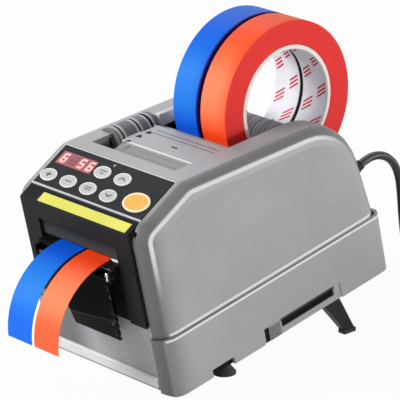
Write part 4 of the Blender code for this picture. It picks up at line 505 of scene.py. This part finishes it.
def body_of(node):
    """The body that a node moves with."""
    return next(name for name, nodes in frame["record"]["behaviour"]["bodies"].items() if node in nodes)


def moulding(node, finish, sharp=38.0):
    """A node's own shape with its seams merged, so that its rounded stretches shade smoothly."""
    bm = bmesh.new()
    bm.from_mesh(NODES[node].data)
    placed(bm, NODES[node].matrix_world)
    bmesh.ops.remove_doubles(bm, verts=bm.verts, dist=WELD)
    bmesh.ops.dissolve_limit(bm, angle_limit=FLAT_WITHIN, verts=bm.verts, edges=bm.edges)
    piece = finished(bm, node + "_moulding", [finish], body_of(node), [node], Matrix.Identity(4), sharp)
    even = piece.modifiers.new("even_shading", "WEIGHTED_NORMAL")
    even.weight = 100
    even.keep_sharp = True
    return piece


def paint(node, finish):
    """A better material on a node that keeps its own shape."""
    mesh = NODES[node].data
    if mesh.materials:
        NODES[node].material_slots[0].material = finish.material
    else:
        mesh.materials.append(finish.material)


# Camera and mains lead
CAMERA_LENS = 279.0
CAMERA_PLACE = (1.51449, -1.32318, 0.80556)
CAMERA_TURN = (radians(70.8654), radians(0.8293), radians(48.1868))


def make_camera():
    data = bpy.data.cameras.new("camera")
    data.lens = CAMERA_LENS
    data.sensor_width = 36.0
    data.clip_start = 0.05
    camera = bpy.data.objects.new("camera", data)
    camera.location = CAMERA_PLACE
    camera.rotation_euler = CAMERA_TURN
    bpy.context.scene.collection.objects.link(camera)
    bpy.context.scene.camera = camera


CORD_EXIT = (0.0506, 0.124061, 0.117385)
CORD_DIAMETER = 0.006
CORD_ROUTE = [
    (0.0506, 0.1241, 0.1174), (0.0506, 0.1278, 0.1188), (0.0506, 0.1340, 0.1202), (0.0506, 0.1415, 0.1197),
    (0.0507, 0.1488, 0.1168), (0.0508, 0.1550, 0.1116), (0.0509, 0.1593, 0.1046), (0.0510, 0.1619, 0.0960),
    (0.0512, 0.1634, 0.0840), (0.0514, 0.1645, 0.0700), (0.0517, 0.1662, 0.0560), (0.0521, 0.1689, 0.0420),
    (0.0526, 0.1720, 0.0300), (0.0530, 0.1752, 0.0208), (0.0535, 0.1798, 0.0136), (0.0540, 0.1860, 0.0083),
    (0.0545, 0.1932, 0.0052), (0.0547, 0.1995, 0.0042), (0.05475, 0.2055, 0.0041), (0.05475, 0.2137, 0.0041)]
COIL_CENTRE = Vector((0.1000, 0.220))
COIL_MEAN = 0.0355
COIL_TURNS = 3          # in each of the two layers
COIL_CLIMB = 0.5        # of a turn, from the lower layer to the upper
COIL_PITCH = 0.0065
COIL_LOW = 0.0041
COIL_HIGH = 0.0106
COIL_DIP = 0.00085      # inwards, on the way up
COIL_POINTS = 24        # to a turn


def smoothed(points, steps=6):
    """Places along one smooth curve through the given points."""
    padded = [2 * points[0] - points[1]] + points + [2 * points[-1] - points[-2]]
    fine = []
    for before, one, two, after in zip(padded, padded[1:], padded[2:], padded[3:]):
        for step in range(steps):
            t = step / steps
            fine.append((2 * one + (two - before) * t + (2 * before - 5 * one + 4 * two - after) * t ** 2
                         + (3 * one - before - 3 * two + after) * t ** 3) / 2)
    return fine + [points[-1]]


def coil_line():
    """Inwards along the floor, up a layer in half a turn, and outwards again; both ends straight."""
    inner = COIL_MEAN - COIL_TURNS * COIL_PITCH / 2
    turns = 2 * COIL_TURNS + COIL_CLIMB
    line = []
    for step in range(round(turns * COIL_POINTS) + 1):
        turn = step / COIL_POINTS
        share = min(max((turn - COIL_TURNS) / COIL_CLIMB, 0.0), 1.0)
        radius = inner - COIL_DIP * sin(pi * share)
        radius += COIL_PITCH * (max(COIL_TURNS - turn, 0.0) + max(turn - COIL_TURNS - COIL_CLIMB, 0.0))
        angle = pi - 2 * pi * turn
        line.append(Vector((COIL_CENTRE.x + radius * cos(angle), COIL_CENTRE.y + radius * sin(angle),
                            COIL_LOW + (COIL_HIGH - COIL_LOW) * share)))
    lead = Vector((0.0, CORD_DIAMETER, 0.0))
    return [line[0] - lead] + line + [line[-1] - lead]


def make_lead():
    """Mains lead in one length, from its sleeve down behind the machine and round its coil to the plug."""
    line = smoothed([Vector(point) for point in CORD_ROUTE]) + coil_line()
    curve = bpy.data.curves.new("mains_lead", "CURVE")
    curve.dimensions = "3D"
    curve.bevel_depth = CORD_DIAMETER / 2
    curve.bevel_resolution = 4
    curve.use_fill_caps = True
    spline = curve.splines.new("POLY")
    spline.points.add(len(line) - 1)
    for spot, point in zip(spline.points, line):
        spot.co = (*point, 1.0)
    spline.use_smooth = True
    curve.materials.append(SHEATH.material)
    lead = bpy.data.objects.new("mains_lead", curve)
    bpy.context.scene.collection.objects.link(lead)
    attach(lead, "machine")
    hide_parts("power_cord", "cord_coil")
    length = sum((two - one).length for one, two in zip(line, line[1:]))
    sleeve = make_sleeve()
    plug = make_plug()
    tie = moulding("cord_tie", SHEATH)


def make_sleeve():
    """Tapered sleeve in the rear wall, slotted so that it bends with the lead."""
    reach, neck, tip = 0.0100, 0.0046, 0.0035
    flange, rim = 0.0062, 0.002
    rings = 3
    profile = [(0.0, reach), (tip, reach)]
    room = reach - rim - 2 * GAP
    for ring in range(rings):
        share = (ring + 1) / rings
        low = reach - room * share
        radius = tip + (neck - tip) * share
        groove = room / rings / 3
        profile += [(radius, low + groove), (radius - 2 * GAP, low + groove), (radius - 2 * GAP, low)]
    profile += [(neck, rim), (flange - GAP, rim), (flange, rim - GAP), (flange, GAP), (neck, GAP), (tip, -reach),
                (0.0, -reach)]
    place = rear_plane(CORD_EXIT[0], 0.0735) @ Matrix.Rotation(-pi / 2, 4, "X")
    return finished(turned(profile, 32), "lead_sleeve", [SHEATH], "machine", ["strain_relief"], place)


def make_plug():
    """Moulded plug with grip ribs, a tapered nose and three metal pins, lying beside its coil."""
    low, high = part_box("plug")
    nose, pins = 0.025, 0.017
    middle = (low + high) / 2
    front, back = low.y + pins, high.y - nose
    proud = 0.0004
    body = box((low.x + proud, front, low.z), (high.x - proud, back, high.z), 0.003, 4)
    ribs, first, pitch, half, inset = 5, 0.006, 0.0042, 0.0009, 0.004
    for rib in range(ribs):
        y = back - first - rib * pitch
        for side in (low.x + proud, high.x - proud):
            merge(body, box((side - proud, y - half, low.z + inset), (side + proud, y + half, high.z - inset),
                            GAP, 1))
    taper = turned([(0.0, nose), (0.0036, nose), (0.0044, nose * 0.45), (0.0052, 0.0), (0.0, 0.0)], 24)
    placed(taper, Matrix.Translation((middle.x, back, middle.z)) @ Matrix.Rotation(-pi / 2, 4, "X"))
    merge(body, taper)
    shell = finished(body, "plug_body", [SHEATH], "machine", ["plug"], Matrix.Identity(4))
    thick, wide, apart = 0.0016, 0.0063, 0.0127
    contacts = bmesh.new()
    for way in (-1, 1):
        x = middle.x + way * apart / 2
        merge(contacts, box((x - thick / 2, low.y, middle.z),
                            (x + thick / 2, front + 0.001, middle.z + wide), 0.0005))
    ground = turned([(0.0, pins), (0.0016, pins), (0.0024, pins - 0.0012), (0.0024, 0.0), (0.0, 0.0)], 24)
    placed(ground, Matrix.Translation((middle.x, front, middle.z - 0.005)) @ Matrix.Rotation(pi / 2, 4, "X"))
    merge(contacts, ground)
    pin = finished(contacts, "plug_pins", [BRASS], "machine", ["plug"], Matrix.Identity(4))
    return shell, pin


# Mouldings that keep the CAD's shape
def make_mouldings():
    for node, finish, slot in (
            ("upper_housing", HOUSING, "housing_grey"), ("base_tub", HOUSING, "housing_grey"),
            ("roll_tray", HOUSING, "housing_grey"), ("pressure_lid", LID, "lid_grey"),
            ("hinge_bracket", HINGE, "lid_grey"), ("front_bezel", BLACK, "bezel_black"),
            ("outlet_panel", PANEL, "bezel_black"), ("outlet_hood", HOOD, "hood_grey"),
            ("outlet_flap", FLAP, "bezel_black"), ("front_lip", LIP, "lip_pale"),
            ("front_foot_left", FOOT, "foot_rubber"), ("front_foot_right", FOOT, "foot_rubber"),
            ("rear_leg_left", LEG, "leg_dark"), ("rear_leg_right", LEG, "leg_dark"),
            ("feed_roller", GRIP, "roller_rubber"), ("pressure_roller", GRIP, "roller_rubber"),
            ("cradle_roller_front", GRIP, "roller_rubber"), ("cradle_roller_rear", GRIP, "roller_rubber"),
            ("feed_gear", NYLON, "gear_plastic"), ("power_rocker", ROCKER, "rocker_black"),
            ("switch_frame", SWITCH, "switch_black"), ("ribbed_panel", RIBS, "rib_grey"),
            ("keeper_drum", DRUM, "drum_grey")):
        moulding(node, finish)
    for node, finish in (
            ("chassis_left", STEEL), ("chassis_right", STEEL), ("moving_blade", GROUND), ("fixed_blade", GROUND),
            ("tape_guide", GUIDE), ("flap_pin", DARK_PIN), ("hinge_pin", BRIGHT), ("motor_pinion", BRIGHT),
            ("cutter_pinion", BRIGHT), ("feed_motor", CAN), ("cutter_motor", CAN), ("mains_transformer", IRON),
            ("control_board", BOARD), ("leg_pad_left", FOOT), ("leg_pad_right", FOOT)):
        paint(node, finish)


# Keypad
KEY_RADIUS = 0.0066
START_RADIUS = 0.0102
KEY_DEPTH = 0.0035
KEY_PROUD = 0.0011
OVAL_ACROSS, OVAL_UP = 1.20, 0.80       # of a key's radius
MEMBRANE = moulded("membrane_charcoal", "2A2B2D", 0.5, grain=0.2, Specular_IOR_Level=0.10)
KEY_RING = moulded("key_ring_pale", "E4E4E2", 0.4, grain=0.1)
KEY_DISC = moulded("key_disc_grey", "C2C2C0", 0.45, grain=0.15)
START_DISC = moulded("start_amber", "FBB452", 0.4, grain=0.1)
START_RING = moulded("start_ring_pale", "FFE6C0", 0.4, grain=0.1)
PRINT = moulded("print_dark", "5C5C5C", 0.5, grain=0.1)
PRINT_PALE = moulded("print_pale", "FBD79C", 0.5, grain=0.1)
LABEL = moulded("label_yellow", "E2E068", 0.45, grain=0.1, Specular_IOR_Level=0.25)
LED = moulded("led_dim", "8E9092", 0.3, grain=0.1)
LENS = moulded("display_lens", "A8545C", 0.25, grain=0.0, cloud=0.08, Coat_Weight=0.3)
HALO = moulded("display_halo", "D87C82", 0.4, grain=0.0, cloud=0.03, Specular_IOR_Level=0.2)
UNLIT = moulded("display_unlit", "8C6462", 0.4, grain=0.0, cloud=0.03, Specular_IOR_Level=0.2)
GLOW = moulded("display_glow", "6E2428", 0.5, grain=0.0, cloud=0.03, Specular_IOR_Level=0.1)
DIGIT = Finish("display_digit", tint("FFC8C4"), 0.4, Emission_Color=(*tint("FFB8B2"), 1.0), Emission_Strength=0.35)


def spread(node, matrix):
    """Lowest and highest corner of a node's solid in a frame of its own."""
    points = [matrix.inverted() @ NODES[node].matrix_world @ vertex.co for vertex in NODES[node].data.vertices]
    return [Vector([pick(point[axis] for point in points) for axis in range(3)]) for pick in (min, max)]


def on_keypad(node):
    """Middle of a node's solid on the keypad plane, as across, up the slope and out of it."""
    low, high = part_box(node)
    return KEYPAD.inverted() @ ((low + high) / 2)


def bar(centre, size, turn=0.0, high=KEY_PROUD, thick=0.00012):
    """A printed stroke on a key: centre and size on its face."""
    bm = box((-size[0] / 2, -size[1] / 2, -thick), (size[0] / 2, size[1] / 2, thick))
    return placed(bm, Matrix.Translation((*centre, high)) @ Matrix.Rotation(turn, 4, "Z"))


def key_marks(name, radius):
    """Plain marks in the keys' own style: plus, minus, bars and arrows."""
    stroke = radius * 0.13
    long = radius * 0.75
    left, right, arm, slant = (-radius * 0.17, 0), (radius * 0.17, 0), (long * 0.75, stroke), 0.78
    marks = {
        "key_1": [((0, 0), (long, stroke), 0), ((0, 0), (stroke, long), 0)],
        "key_2": [((0, 0), (long, stroke), 0)],
        "key_3": [((0, radius * 0.18), (long, stroke), 0), ((0, -radius * 0.18), (long, stroke), 0)],
        "key_4": [(left, arm, -slant), (right, arm, slant)],
        "key_5": [((0, radius * 0.22), (long, stroke), 0), ((0, -radius * 0.22), (long * 0.6, stroke), 0)],
        "key_6": [(left, arm, slant), (right, arm, -slant)],
        "key_start": [((0, 0), (stroke * 0.6, long * 0.7), 0)],
    }
    bm = bmesh.new()
    for centre, size, turn in marks[name]:
        merge(bm, bar(centre, size, turn))
    return bm


def film_ring(inner, outer, low, high):
    """An oval ring of film; inner and outer are its half widths across and up."""
    ring = hoop(1.0, 2.0, low, high)
    for vert in ring.verts:
        across, up = outer if vert.co.xy.length > 1.5 else inner        # 1.5 lies between the ring's two radii
        way = vert.co.xy.normalized()
        vert.co.x, vert.co.y = way.x * across, way.y * up
    return ring


def make_key(name, radius, ring, disc, ink):
    """An oval key: pale ring, slightly dished disc and its mark, in the film that closes its hole."""
    spot = on_keypad(name)
    centre = KEYPAD @ Matrix.Translation((spot.x, spot.y, 0.0))
    place = centre @ Matrix.Diagonal((OVAL_ACROSS, OVAL_UP, 1.0, 1.0))
    across, up = radius * OVAL_ACROSS, radius * OVAL_UP
    film = film_ring((across + GAP / 2, up + GAP / 2), (across + 0.0004, radius + 0.0006), 0.0, 0.0004)
    finished(film, f"{name}_film", [MEMBRANE], "machine", (), centre)
    width = radius * 0.17
    top = KEY_PROUD
    bm = turned([(0.0, top - GAP / 2), (radius - width, top - GAP / 2), (radius - width * 0.9, top),
                 (radius - GAP, top), (radius, top - GAP), (radius, -KEY_DEPTH), (0.0, -KEY_DEPTH)], 48)
    for face in bm.faces:
        middle = face.calc_center_median()
        if middle.z > top - GAP and Vector(middle.xy).length < radius - width:
            face.material_index = 1
    finished(bm, f"{name}_cap", [ring, disc], name, [name], place)
    finished(key_marks(name, radius), f"{name}_mark", [ink], name, (), place)


# A digit's strokes: across, up, and whether they lie level
SEGMENTS = {"top": (0, 1, True), "upper_right": (1, 0.5, False), "lower_right": (1, -0.5, False),
            "bottom": (0, -1, True), "lower_left": (-1, -0.5, False), "upper_left": (-1, 0.5, False),
            "middle": (0, 0, True)}
DIGITS = {"5": "top upper_left middle lower_right bottom",
          "6": "top upper_left lower_left bottom lower_right middle",
          "8": "top upper_left upper_right lower_left lower_right bottom middle"}
WINDOW_LOW, WINDOW_HIGH = (-0.0523, 0.0328), (-0.0162, 0.0440)          # on the keypad plane


def make_display():
    """Red window with four places for digits, three of them lit."""
    moulding("display_window", LENS)
    low, high = WINDOW_LOW, WINDOW_HIGH
    tall, wide = 0.0068, 0.0042
    lean = Matrix.Identity(4)
    lean[0][1] = 0.10
    pitch = (high[0] - low[0]) / 4.0
    # The halos are painted glow round the lit digits
    for title, finish, shown, stroke, proud in (
            ("display_unlit", UNLIT, " 8  ", 0.0012, 0.00010), ("display_halos", HALO, "6 56", 0.0028, 0.00014),
            ("display_digits", DIGIT, "6 56", 0.0012, 0.00022)):
        bm = bmesh.new()
        for place, digit in enumerate(shown):
            centre = Vector((low[0] + pitch * (place + 0.62), (low[1] + high[1]) / 2, GAP))
            for name in DIGITS.get(digit, "").split():
                across, up, level = SEGMENTS[name]
                length = (wide if level else tall / 2) + stroke * 0.3
                size = (length, stroke) if level else (stroke, length)
                stroke_bar = placed(bar((0, 0), size, 0.0, 0.0, proud),
                                    Matrix.Translation((across * wide / 2, up * tall / 2, 0.0)))
                merge(bm, placed(stroke_bar, Matrix.Translation(centre) @ lean))
        finished(bm, title, [finish], "machine", (), KEYPAD)
    glow = bmesh.new()
    rim, rim_top = 0.0009, 0.0002
    merge(glow, box((low[0] - rim, low[1] - rim, 0.0), (high[0] + rim, low[1], rim_top)))
    merge(glow, box((high[0], low[1], 0.0), (high[0] + rim, high[1], rim_top)))
    finished(glow, "display_glow", [GLOW], "machine", (), KEYPAD)


def make_keypad():
    moulding("keypad_overlay", MEMBRANE)
    for index in range(6):
        make_key(f"key_{index + 1}", KEY_RADIUS, KEY_RING, KEY_DISC, PRINT)
    make_key("key_start", START_RADIUS, START_RING, START_DISC, PRINT_PALE)
    make_display()
    moulding("label_band", LABEL)
    moulding("status_led", LED)
    low, high = spread("keypad_overlay", KEYPAD)
    wide, proud, seal_low, seal_high = 0.0009, 0.0004, 0.0044, 0.0019
    border = bmesh.new()
    for one, two in (((low.x - wide, low.y - wide), (high.x + wide, low.y)),
                     ((low.x - wide, high.y), (high.x + wide, high.y + wide))):
        merge(border, box((*one, -proud), (*two, proud), proud / 2, 1))
    finished(border, "keypad_border", [EDGE], "machine", (), KEYPAD)
    seal = box((low.x, low.y - seal_low, 0.0001), (high.x, low.y - seal_high, GAP))
    finished(seal, "cover_seal", [BLACK], "machine", (), KEYPAD)


# Tapes
ROLL_RADIUS = 0.0585
CORE_OUT = 0.0413
CORE_BORE = 0.0382
TAPE_HALF = 0.0125


def roll_centre(name):
    """Middle of a roll, on its axis."""
    low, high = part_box(f"{name}_tape")
    return Vector(((low.x + high.x) / 2, *JOINTS[f"{name}_roll_spin"]["pos_m"][1:]))


MARK_COUNT = 10                         # round a core's bore, in each of its two columns
MARK_APART = 2 * pi * CORE_BORE / MARK_COUNT
MARK_HALF = 0.0040
MARK_PITCH = 0.0029                     # from bar to bar
MARK_SLANT = 0.7


def mark_column(turn, aside):
    """Slanted triple bars, one above another round the bore."""
    along = (turn.apply("FRACT") - 0.5) * MARK_APART + aside * MARK_SLANT
    bars = between((along * (1.0 / MARK_PITCH) + 0.5).apply("FRACT"), 0.25, 0.75, 0.05)
    edge = 0.0001
    return (bars * between(along, -1.5 * MARK_PITCH, 1.5 * MARK_PITCH, edge)
            * between(aside, -MARK_HALF, MARK_HALF, edge))


def core_card(centre):
    """White faced card with red generic marks round its bore."""
    finish = Finish("core_card", tint("EFECE6"), 0.65)
    x, y, z = finish.split(finish.level(Matrix.Translation(centre)))
    radius = (y * y + z * z).apply("SQRT")
    angle = y.apply("ARCTAN2", z)
    turn = angle * (CORE_BORE / MARK_APART)
    ink = mark_column(turn, x - TAPE_HALF / 2) + mark_column(turn + 0.5, x + TAPE_HALF / 2)
    ink = ink * (1.0 - radius.within(CORE_BORE + 0.0004, CORE_BORE + 0.0005))
    fibre = finish.noise(finish.place(), 260.0, 4.0, 0.7)
    inner = radius.within(CORE_BORE + 0.0003, CORE_BORE + 0.0006)
    card = finish.blend(inner, finish.blend(fibre, tint("E4E2EA"), tint("F2F0F6")), tint("F8F1E8"))
    finish.put("Base Color", finish.blend(ink, card, tint("CC1E3C")))
    finish.put("Normal", finish.bump(fibre, 0.2, 0.0002))
    return finish


def painted_sheen_on_roll(finish, middle):
    """Painted sheen, palest on the roll's front half way up, with painted shade deeper towards its right edge."""
    x, _, z = finish.split(finish.level())
    aside = (x - middle).within(0.0, TAPE_HALF * 1.4)
    return z.within(0.128, 0.158) * (1.0 - z.within(0.168, 0.192) * 0.7) * (1.0 - aside * 0.75)


def painted_sheen_on_strip(finish):
    """Painted sheen, palest where the free end turns down."""
    _, y, z = finish.split(finish.level())
    return (0.0 - y).within(0.004, 0.036) * (0.35 + z.within(0.066, 0.084) * 0.65)


def make_rolls():
    """Each roll's tape, card core and free end, and the dark spacer between the cores."""
    across = Matrix.Rotation(pi / 2, 4, "Y")
    edge = GAP
    for name, deep, light, side in (("blue", "0258DE", "1A80DE", "101880"),
                                    ("orange", "FF4210", "FC8A5C", "F43430")):
        centre = roll_centre(name)
        place = Matrix.Translation(centre) @ across
        # The blue roll's face takes a painted shade beside the gap to the orange roll
        beside_gap = centre.x + TAPE_HALF if name == "blue" else None
        skin = crepe(f"{name}_crepe", deep, light, lambda finish: painted_sheen_on_roll(finish, centre.x), beside_gap)
        flank = wound_face(f"{name}_wound", side, centre)
        ring = turned([(CORE_OUT + GAP, TAPE_HALF), (ROLL_RADIUS - edge, TAPE_HALF),
                       (ROLL_RADIUS, TAPE_HALF - edge), (ROLL_RADIUS, edge - TAPE_HALF),
                       (ROLL_RADIUS - edge, -TAPE_HALF),
                       (CORE_OUT + GAP, -TAPE_HALF), (CORE_OUT + GAP, TAPE_HALF)], 144)
        for face in ring.faces:
            face.material_index = 1 if abs(face.normal.z) > 0.9 else 0
        finished(ring, f"{name}_roll", [skin, flank], f"{name}_roll", [f"{name}_tape"], place)
        card = core_card(centre)
        core = turned([(CORE_BORE, TAPE_HALF - edge), (CORE_BORE + edge, TAPE_HALF),
                       (CORE_OUT - edge, TAPE_HALF), (CORE_OUT, TAPE_HALF - edge), (CORE_OUT, edge - TAPE_HALF),
                       (CORE_OUT - edge, -TAPE_HALF), (CORE_BORE + edge, -TAPE_HALF),
                       (CORE_BORE, edge - TAPE_HALF), (CORE_BORE, TAPE_HALF - edge)], 96)
        finished(core, f"{name}_card", [card], f"{name}_roll", [f"{name}_core"], place)
        moulding(f"{name}_strip", crepe(f"{name}_strip_crepe", deep, light, painted_sheen_on_strip), 60.0)
    blue, orange = roll_centre("blue"), roll_centre("orange")
    apart = (orange.x - blue.x) / 2 - TAPE_HALF - GAP / 3
    spacer = hoop(CORE_BORE + GAP, CORE_OUT - GAP, -apart, apart, 96)
    finished(spacer, "core_spacer", [SHADOW], "blue_roll", (),
             Matrix.Translation((blue + orange) / 2) @ across)


# Small visible detail
FRONT = MACHINE @ Matrix.Rotation(pi / 2, 4, "X")       # x across, y up, z out of the front
LID_TOP = -0.0032
LID_LEFT, LID_RIGHT = -0.0341, 0.0424
BARREL = Matrix.Translation((-0.046, 0.0, -0.008)) @ Matrix.Rotation(-pi / 2, 4, "X")
BARREL_RADIUS = 0.011


def make_outlet_detail():
    """A pale sliver painted as a glint at the end of the blade's cover, the sill's edge, and the flap's spring."""
    # Painted glint: a pale sliver at the hood's edge
    sliver = cut_plate([(0.0305, 0.0985), (0.0318, 0.0969), (0.0379, 0.0969), (0.0383, 0.0988)], 0.0005)
    finished(sliver, "hood_edge_glint", [PALE], "front_cover", (), FRONT @ Matrix.Translation((0, 0, -0.0012)))
    edge = box((0.0250, -0.0055, 0.0934), (0.0394, -0.0049, 0.0941), 0.0002, 1)
    finished(edge, "sill_edge", [HINGE], "machine", ())
    spring = bmesh.new()
    across = Matrix.Rotation(pi / 2, 4, "Y")
    for coil in range(4):
        merge(spring, placed(hoop(0.00145, 0.0019, 0.0, 0.00035, 24),
                             Matrix.Translation((0.0350 + coil * 0.00055, -0.0075, 0.0896)) @ across))
    merge(spring, placed(box((-0.0016, -0.0099, -0.0030), (0.0016, -0.0094, 0.0030), 0.0002, 1),
                         Matrix.Translation((0.0358, 0.0, 0.0906)) @ Matrix.Rotation(radians(20.0), 4, "Y")))
    finished(spring, "flap_spring", [BRIGHT], "flap", ())


def make_side_detail():
    """Painted shadow as dark sheets in the leg slots, the foot notches and beside the release catches, the release
    catches themselves, and the strip in the seam above.
    """
    front, back = LEG_SLOT
    # The slot linings, foot wells and catch gaps are black sheets of painted shadow
    for way, name in ((1, "right"), (-1, "left")):
        for title, finish, slot, low, high, edge in (
                ("leg_slot_painted_shadow", SHADOW, "leg_dark", (0.0670, front, 0.0042), (0.0672, back, 0.0101), 0.0),
                ("leg_catch", CATCH, "leg_dark", (0.0690, 0.0908, 0.0006), (0.06995, 0.1012, 0.0106), 0.0006),
                ("foot_well_painted_shadow", SHADOW, "leg_dark", (0.0672, 0.0345, 0.0002), (0.0674, 0.0577, 0.0070), 0.0),
                ("catch_painted_shadow", SHADOW, "leg_dark", (0.0687, 0.0868, 0.0004), (0.0690, 0.0907, 0.0108), 0.0),
                ("seam_strip", HINGE, "housing_grey", (0.0676, 0.0060, 0.0438), (0.0688, 0.2020, 0.0446), 0.0)):
            piece = placed(box(low, high, edge), Matrix.Diagonal((way, 1, 1, 1)))
            bmesh.ops.recalc_face_normals(piece, faces=piece.faces)
            finished(piece, f"{title}_{name}", [finish], "machine", ())


def make_lid_detail():
    """Step line painted as a highlight, marks and seams on the lid, and painted shadow in the gaps between the
    hinge's knuckles.
    """
    inset = 2 * GAP
    # Painted highlight: a pale line along the lid's step
    line = box((LID_LEFT + inset, LID_STEP[0], LID_TOP - GAP), (LID_RIGHT - inset, LID_STEP[1], LID_TOP + GAP),
               0.0002)
    finished(line, "lid_step_highlight", [PALE], "lid", (), TOP)
    marks = bmesh.new()
    for u, v in ((-0.0285, 0.0300), (-0.0292, 0.0406), (-0.0285, 0.0488)):
        merge(marks, placed(cut_plate([(-0.0022, -0.0016), (0.0022, -0.0006), (-0.0006, 0.0026)], 0.0003),
                            Matrix.Translation((u, v, LID_TOP + 0.0001))))
    merge(marks, box((0.0036, 0.0406, LID_TOP - 0.0002), (0.0094, 0.0420, LID_TOP + 0.0002), 0.0002, 1))
    for v in (0.0505, 0.0552):
        merge(marks, box((-0.0270, v, LID_TOP - 0.0002), (LID_RIGHT - 0.001, v + 0.0004, LID_TOP + 0.0001)))
    finished(marks, "lid_marks", [SHADOW], "lid", (), TOP)
    # Painted shadow: black rings widen the gaps between the knuckles
    for index, (v, wide) in enumerate(zip(KNUCKLE_GAPS, (0.0014, 0.0014, 0.0022))):
        ring = hoop(0.004, BARREL_RADIUS + 0.00005, v - wide / 2, v + wide / 2, 40)
        finished(ring, f"hinge_gap_painted_shadow_{index}", [SHADOW], "machine", (), TOP @ BARREL)
    block = box((-0.0428, 0.0668, -0.0072), (-0.0378, 0.0830, 0.0020), 0.0006)
    finished(block, "bay_block", [EDGE], "machine", (), TOP)
    # Painted shadow: a black sheet on the bay's wall under the block
    lining = box((-0.0425, 0.1165, 0.1050), (-0.0422, 0.1500, 0.1262))
    finished(lining, "bay_painted_shadow", [SHADOW], "machine", ())


def make_rear_detail():
    """Off and on marks on the rocker, and the screws under the base."""
    face = rear_plane(-0.022, 0.0535)
    marks = bmesh.new()
    out = 0.00225
    merge(marks, placed(box((-0.0014, -0.00025, 0.0), (0.0014, 0.00025, 0.00012)),
                        Matrix.Translation((-0.0045, 0.0, out)) @ Matrix.Rotation(pi / 2, 4, "Z")))
    merge(marks, placed(hoop(0.0010, 0.0015, 0.0, 0.00012, 32), Matrix.Translation((0.0045, 0.0, out))))
    finished(marks, "rocker_marks", [PALE], "rocker", (), face @ Matrix.Rotation(-pi / 2, 4, "X"))
    screws = bmesh.new()
    for x in (-0.045, 0.045):
        for y in (0.022, 0.190):
            head = turned([(0.0, 0.0006), (0.0012, 0.0006), (0.0014, 0.0), (0.0034, 0.0002), (0.0036, 0.0012),
                           (0.0, 0.0012), (0.0, 0.0006)], 24)
            merge(screws, placed(head, Matrix.Translation((x, y, 0.0048))))
    finished(screws, "base_screws", [BRIGHT], "machine", ())


# Studio
FLOOR_HALF = 4.0


def area_light(name, way, distance, size, level):
    """A soft light seen from the object along way, whose light on a surface that faces it is level."""
    data = bpy.data.lights.new(name, "AREA")
    data.shape = "RECTANGLE"
    data.size, data.size_y = size
    data.energy = level * (pi * distance) ** 2
    lamp = bpy.data.objects.new(name, data)
    lamp.location = Vector((0.0, 0.0, 0.08)) + Vector(way).normalized() * distance
    lamp.rotation_euler = Vector(way).to_track_quat("Z", "Y").to_euler()
    bpy.context.scene.collection.objects.link(lamp)


def shown_white(tree, strength):
    """The share of plain white in what the camera, gloss and glass see of a surface."""
    rays = tree.nodes.new("ShaderNodeLightPath")
    share = rays.outputs["Is Camera Ray"]
    for ray in ("Is Glossy Ray", "Is Transmission Ray"):
        either = tree.nodes.new("ShaderNodeMath")
        either.operation = "MAXIMUM"
        tree.links.new(share, either.inputs[0])
        tree.links.new(rays.outputs[ray], either.inputs[1])
        share = either.outputs[0]
    part = tree.nodes.new("ShaderNodeMath")
    part.operation = "MULTIPLY"
    part.inputs[1].default_value = strength
    tree.links.new(share, part.inputs[0])
    return part.outputs[0]


def make_studio():
    """White room, pale floor that keeps the machine's shadow, and four soft lights."""
    scene = bpy.context.scene
    scene.view_settings.view_transform = "Standard"
    world = bpy.data.worlds.new("studio")
    world.use_nodes = True
    tree = world.node_tree
    room = tree.nodes["Background"]
    room.inputs["Color"].default_value = (1.0, 1.0, 1.0, 1.0)
    room.inputs["Strength"].default_value = 0.15
    white = tree.nodes.new("ShaderNodeBackground")
    white.inputs["Color"].default_value = (1.0, 1.0, 1.0, 1.0)
    white.inputs["Strength"].default_value = 1.0
    mix = tree.nodes.new("ShaderNodeMixShader")
    tree.links.new(shown_white(tree, 1.0), mix.inputs[0])
    tree.links.new(room.outputs[0], mix.inputs[1])
    tree.links.new(white.outputs[0], mix.inputs[2])
    tree.links.new(mix.outputs[0], tree.nodes["World Output"].inputs[0])
    scene.world = world

    bm = bmesh.new()
    bmesh.ops.create_grid(bm, x_segments=1, y_segments=1, size=FLOOR_HALF)
    mesh = bpy.data.meshes.new("floor")
    bm.to_mesh(mesh)
    bm.free()
    floor = bpy.data.objects.new("floor", mesh)
    scene.collection.objects.link(floor)
    paper = bpy.data.materials.new("floor_paper")
    paper.use_nodes = True
    tree = paper.node_tree
    matt = tree.nodes["Principled BSDF"]
    matt.inputs["Base Color"].default_value = (0.9, 0.9, 0.9, 1.0)
    matt.inputs["Roughness"].default_value = 0.9
    matt.inputs["Specular IOR Level"].default_value = 0.1
    glow = tree.nodes.new("ShaderNodeEmission")
    mix = tree.nodes.new("ShaderNodeMixShader")
    tree.links.new(shown_white(tree, 0.95), mix.inputs[0])
    tree.links.new(matt.outputs[0], mix.inputs[1])
    tree.links.new(glow.outputs[0], mix.inputs[2])
    tree.links.new(mix.outputs[0], tree.nodes["Material Output"].inputs[0])
    mesh.materials.append(paper)

    area_light("front_left", (-0.45, -0.80, 0.45), 2.2, (1.0, 0.8), 0.92)
    area_light("top_back", (-0.45, 0.45, 0.77), 1.9, (1.2, 1.0), 0.28)
    area_light("side_right", (0.80, 0.57, 0.10), 2.0, (1.4, 0.25), 0.46)
    area_light("fill_right", (0.70, -0.65, 0.30), 2.2, (1.0, 1.0), 0.15)


make_camera()
make_lead()
make_mouldings()
make_keypad()
make_rolls()
make_outlet_detail()
make_side_detail()
make_lid_detail()
make_rear_detail()
make_studio()
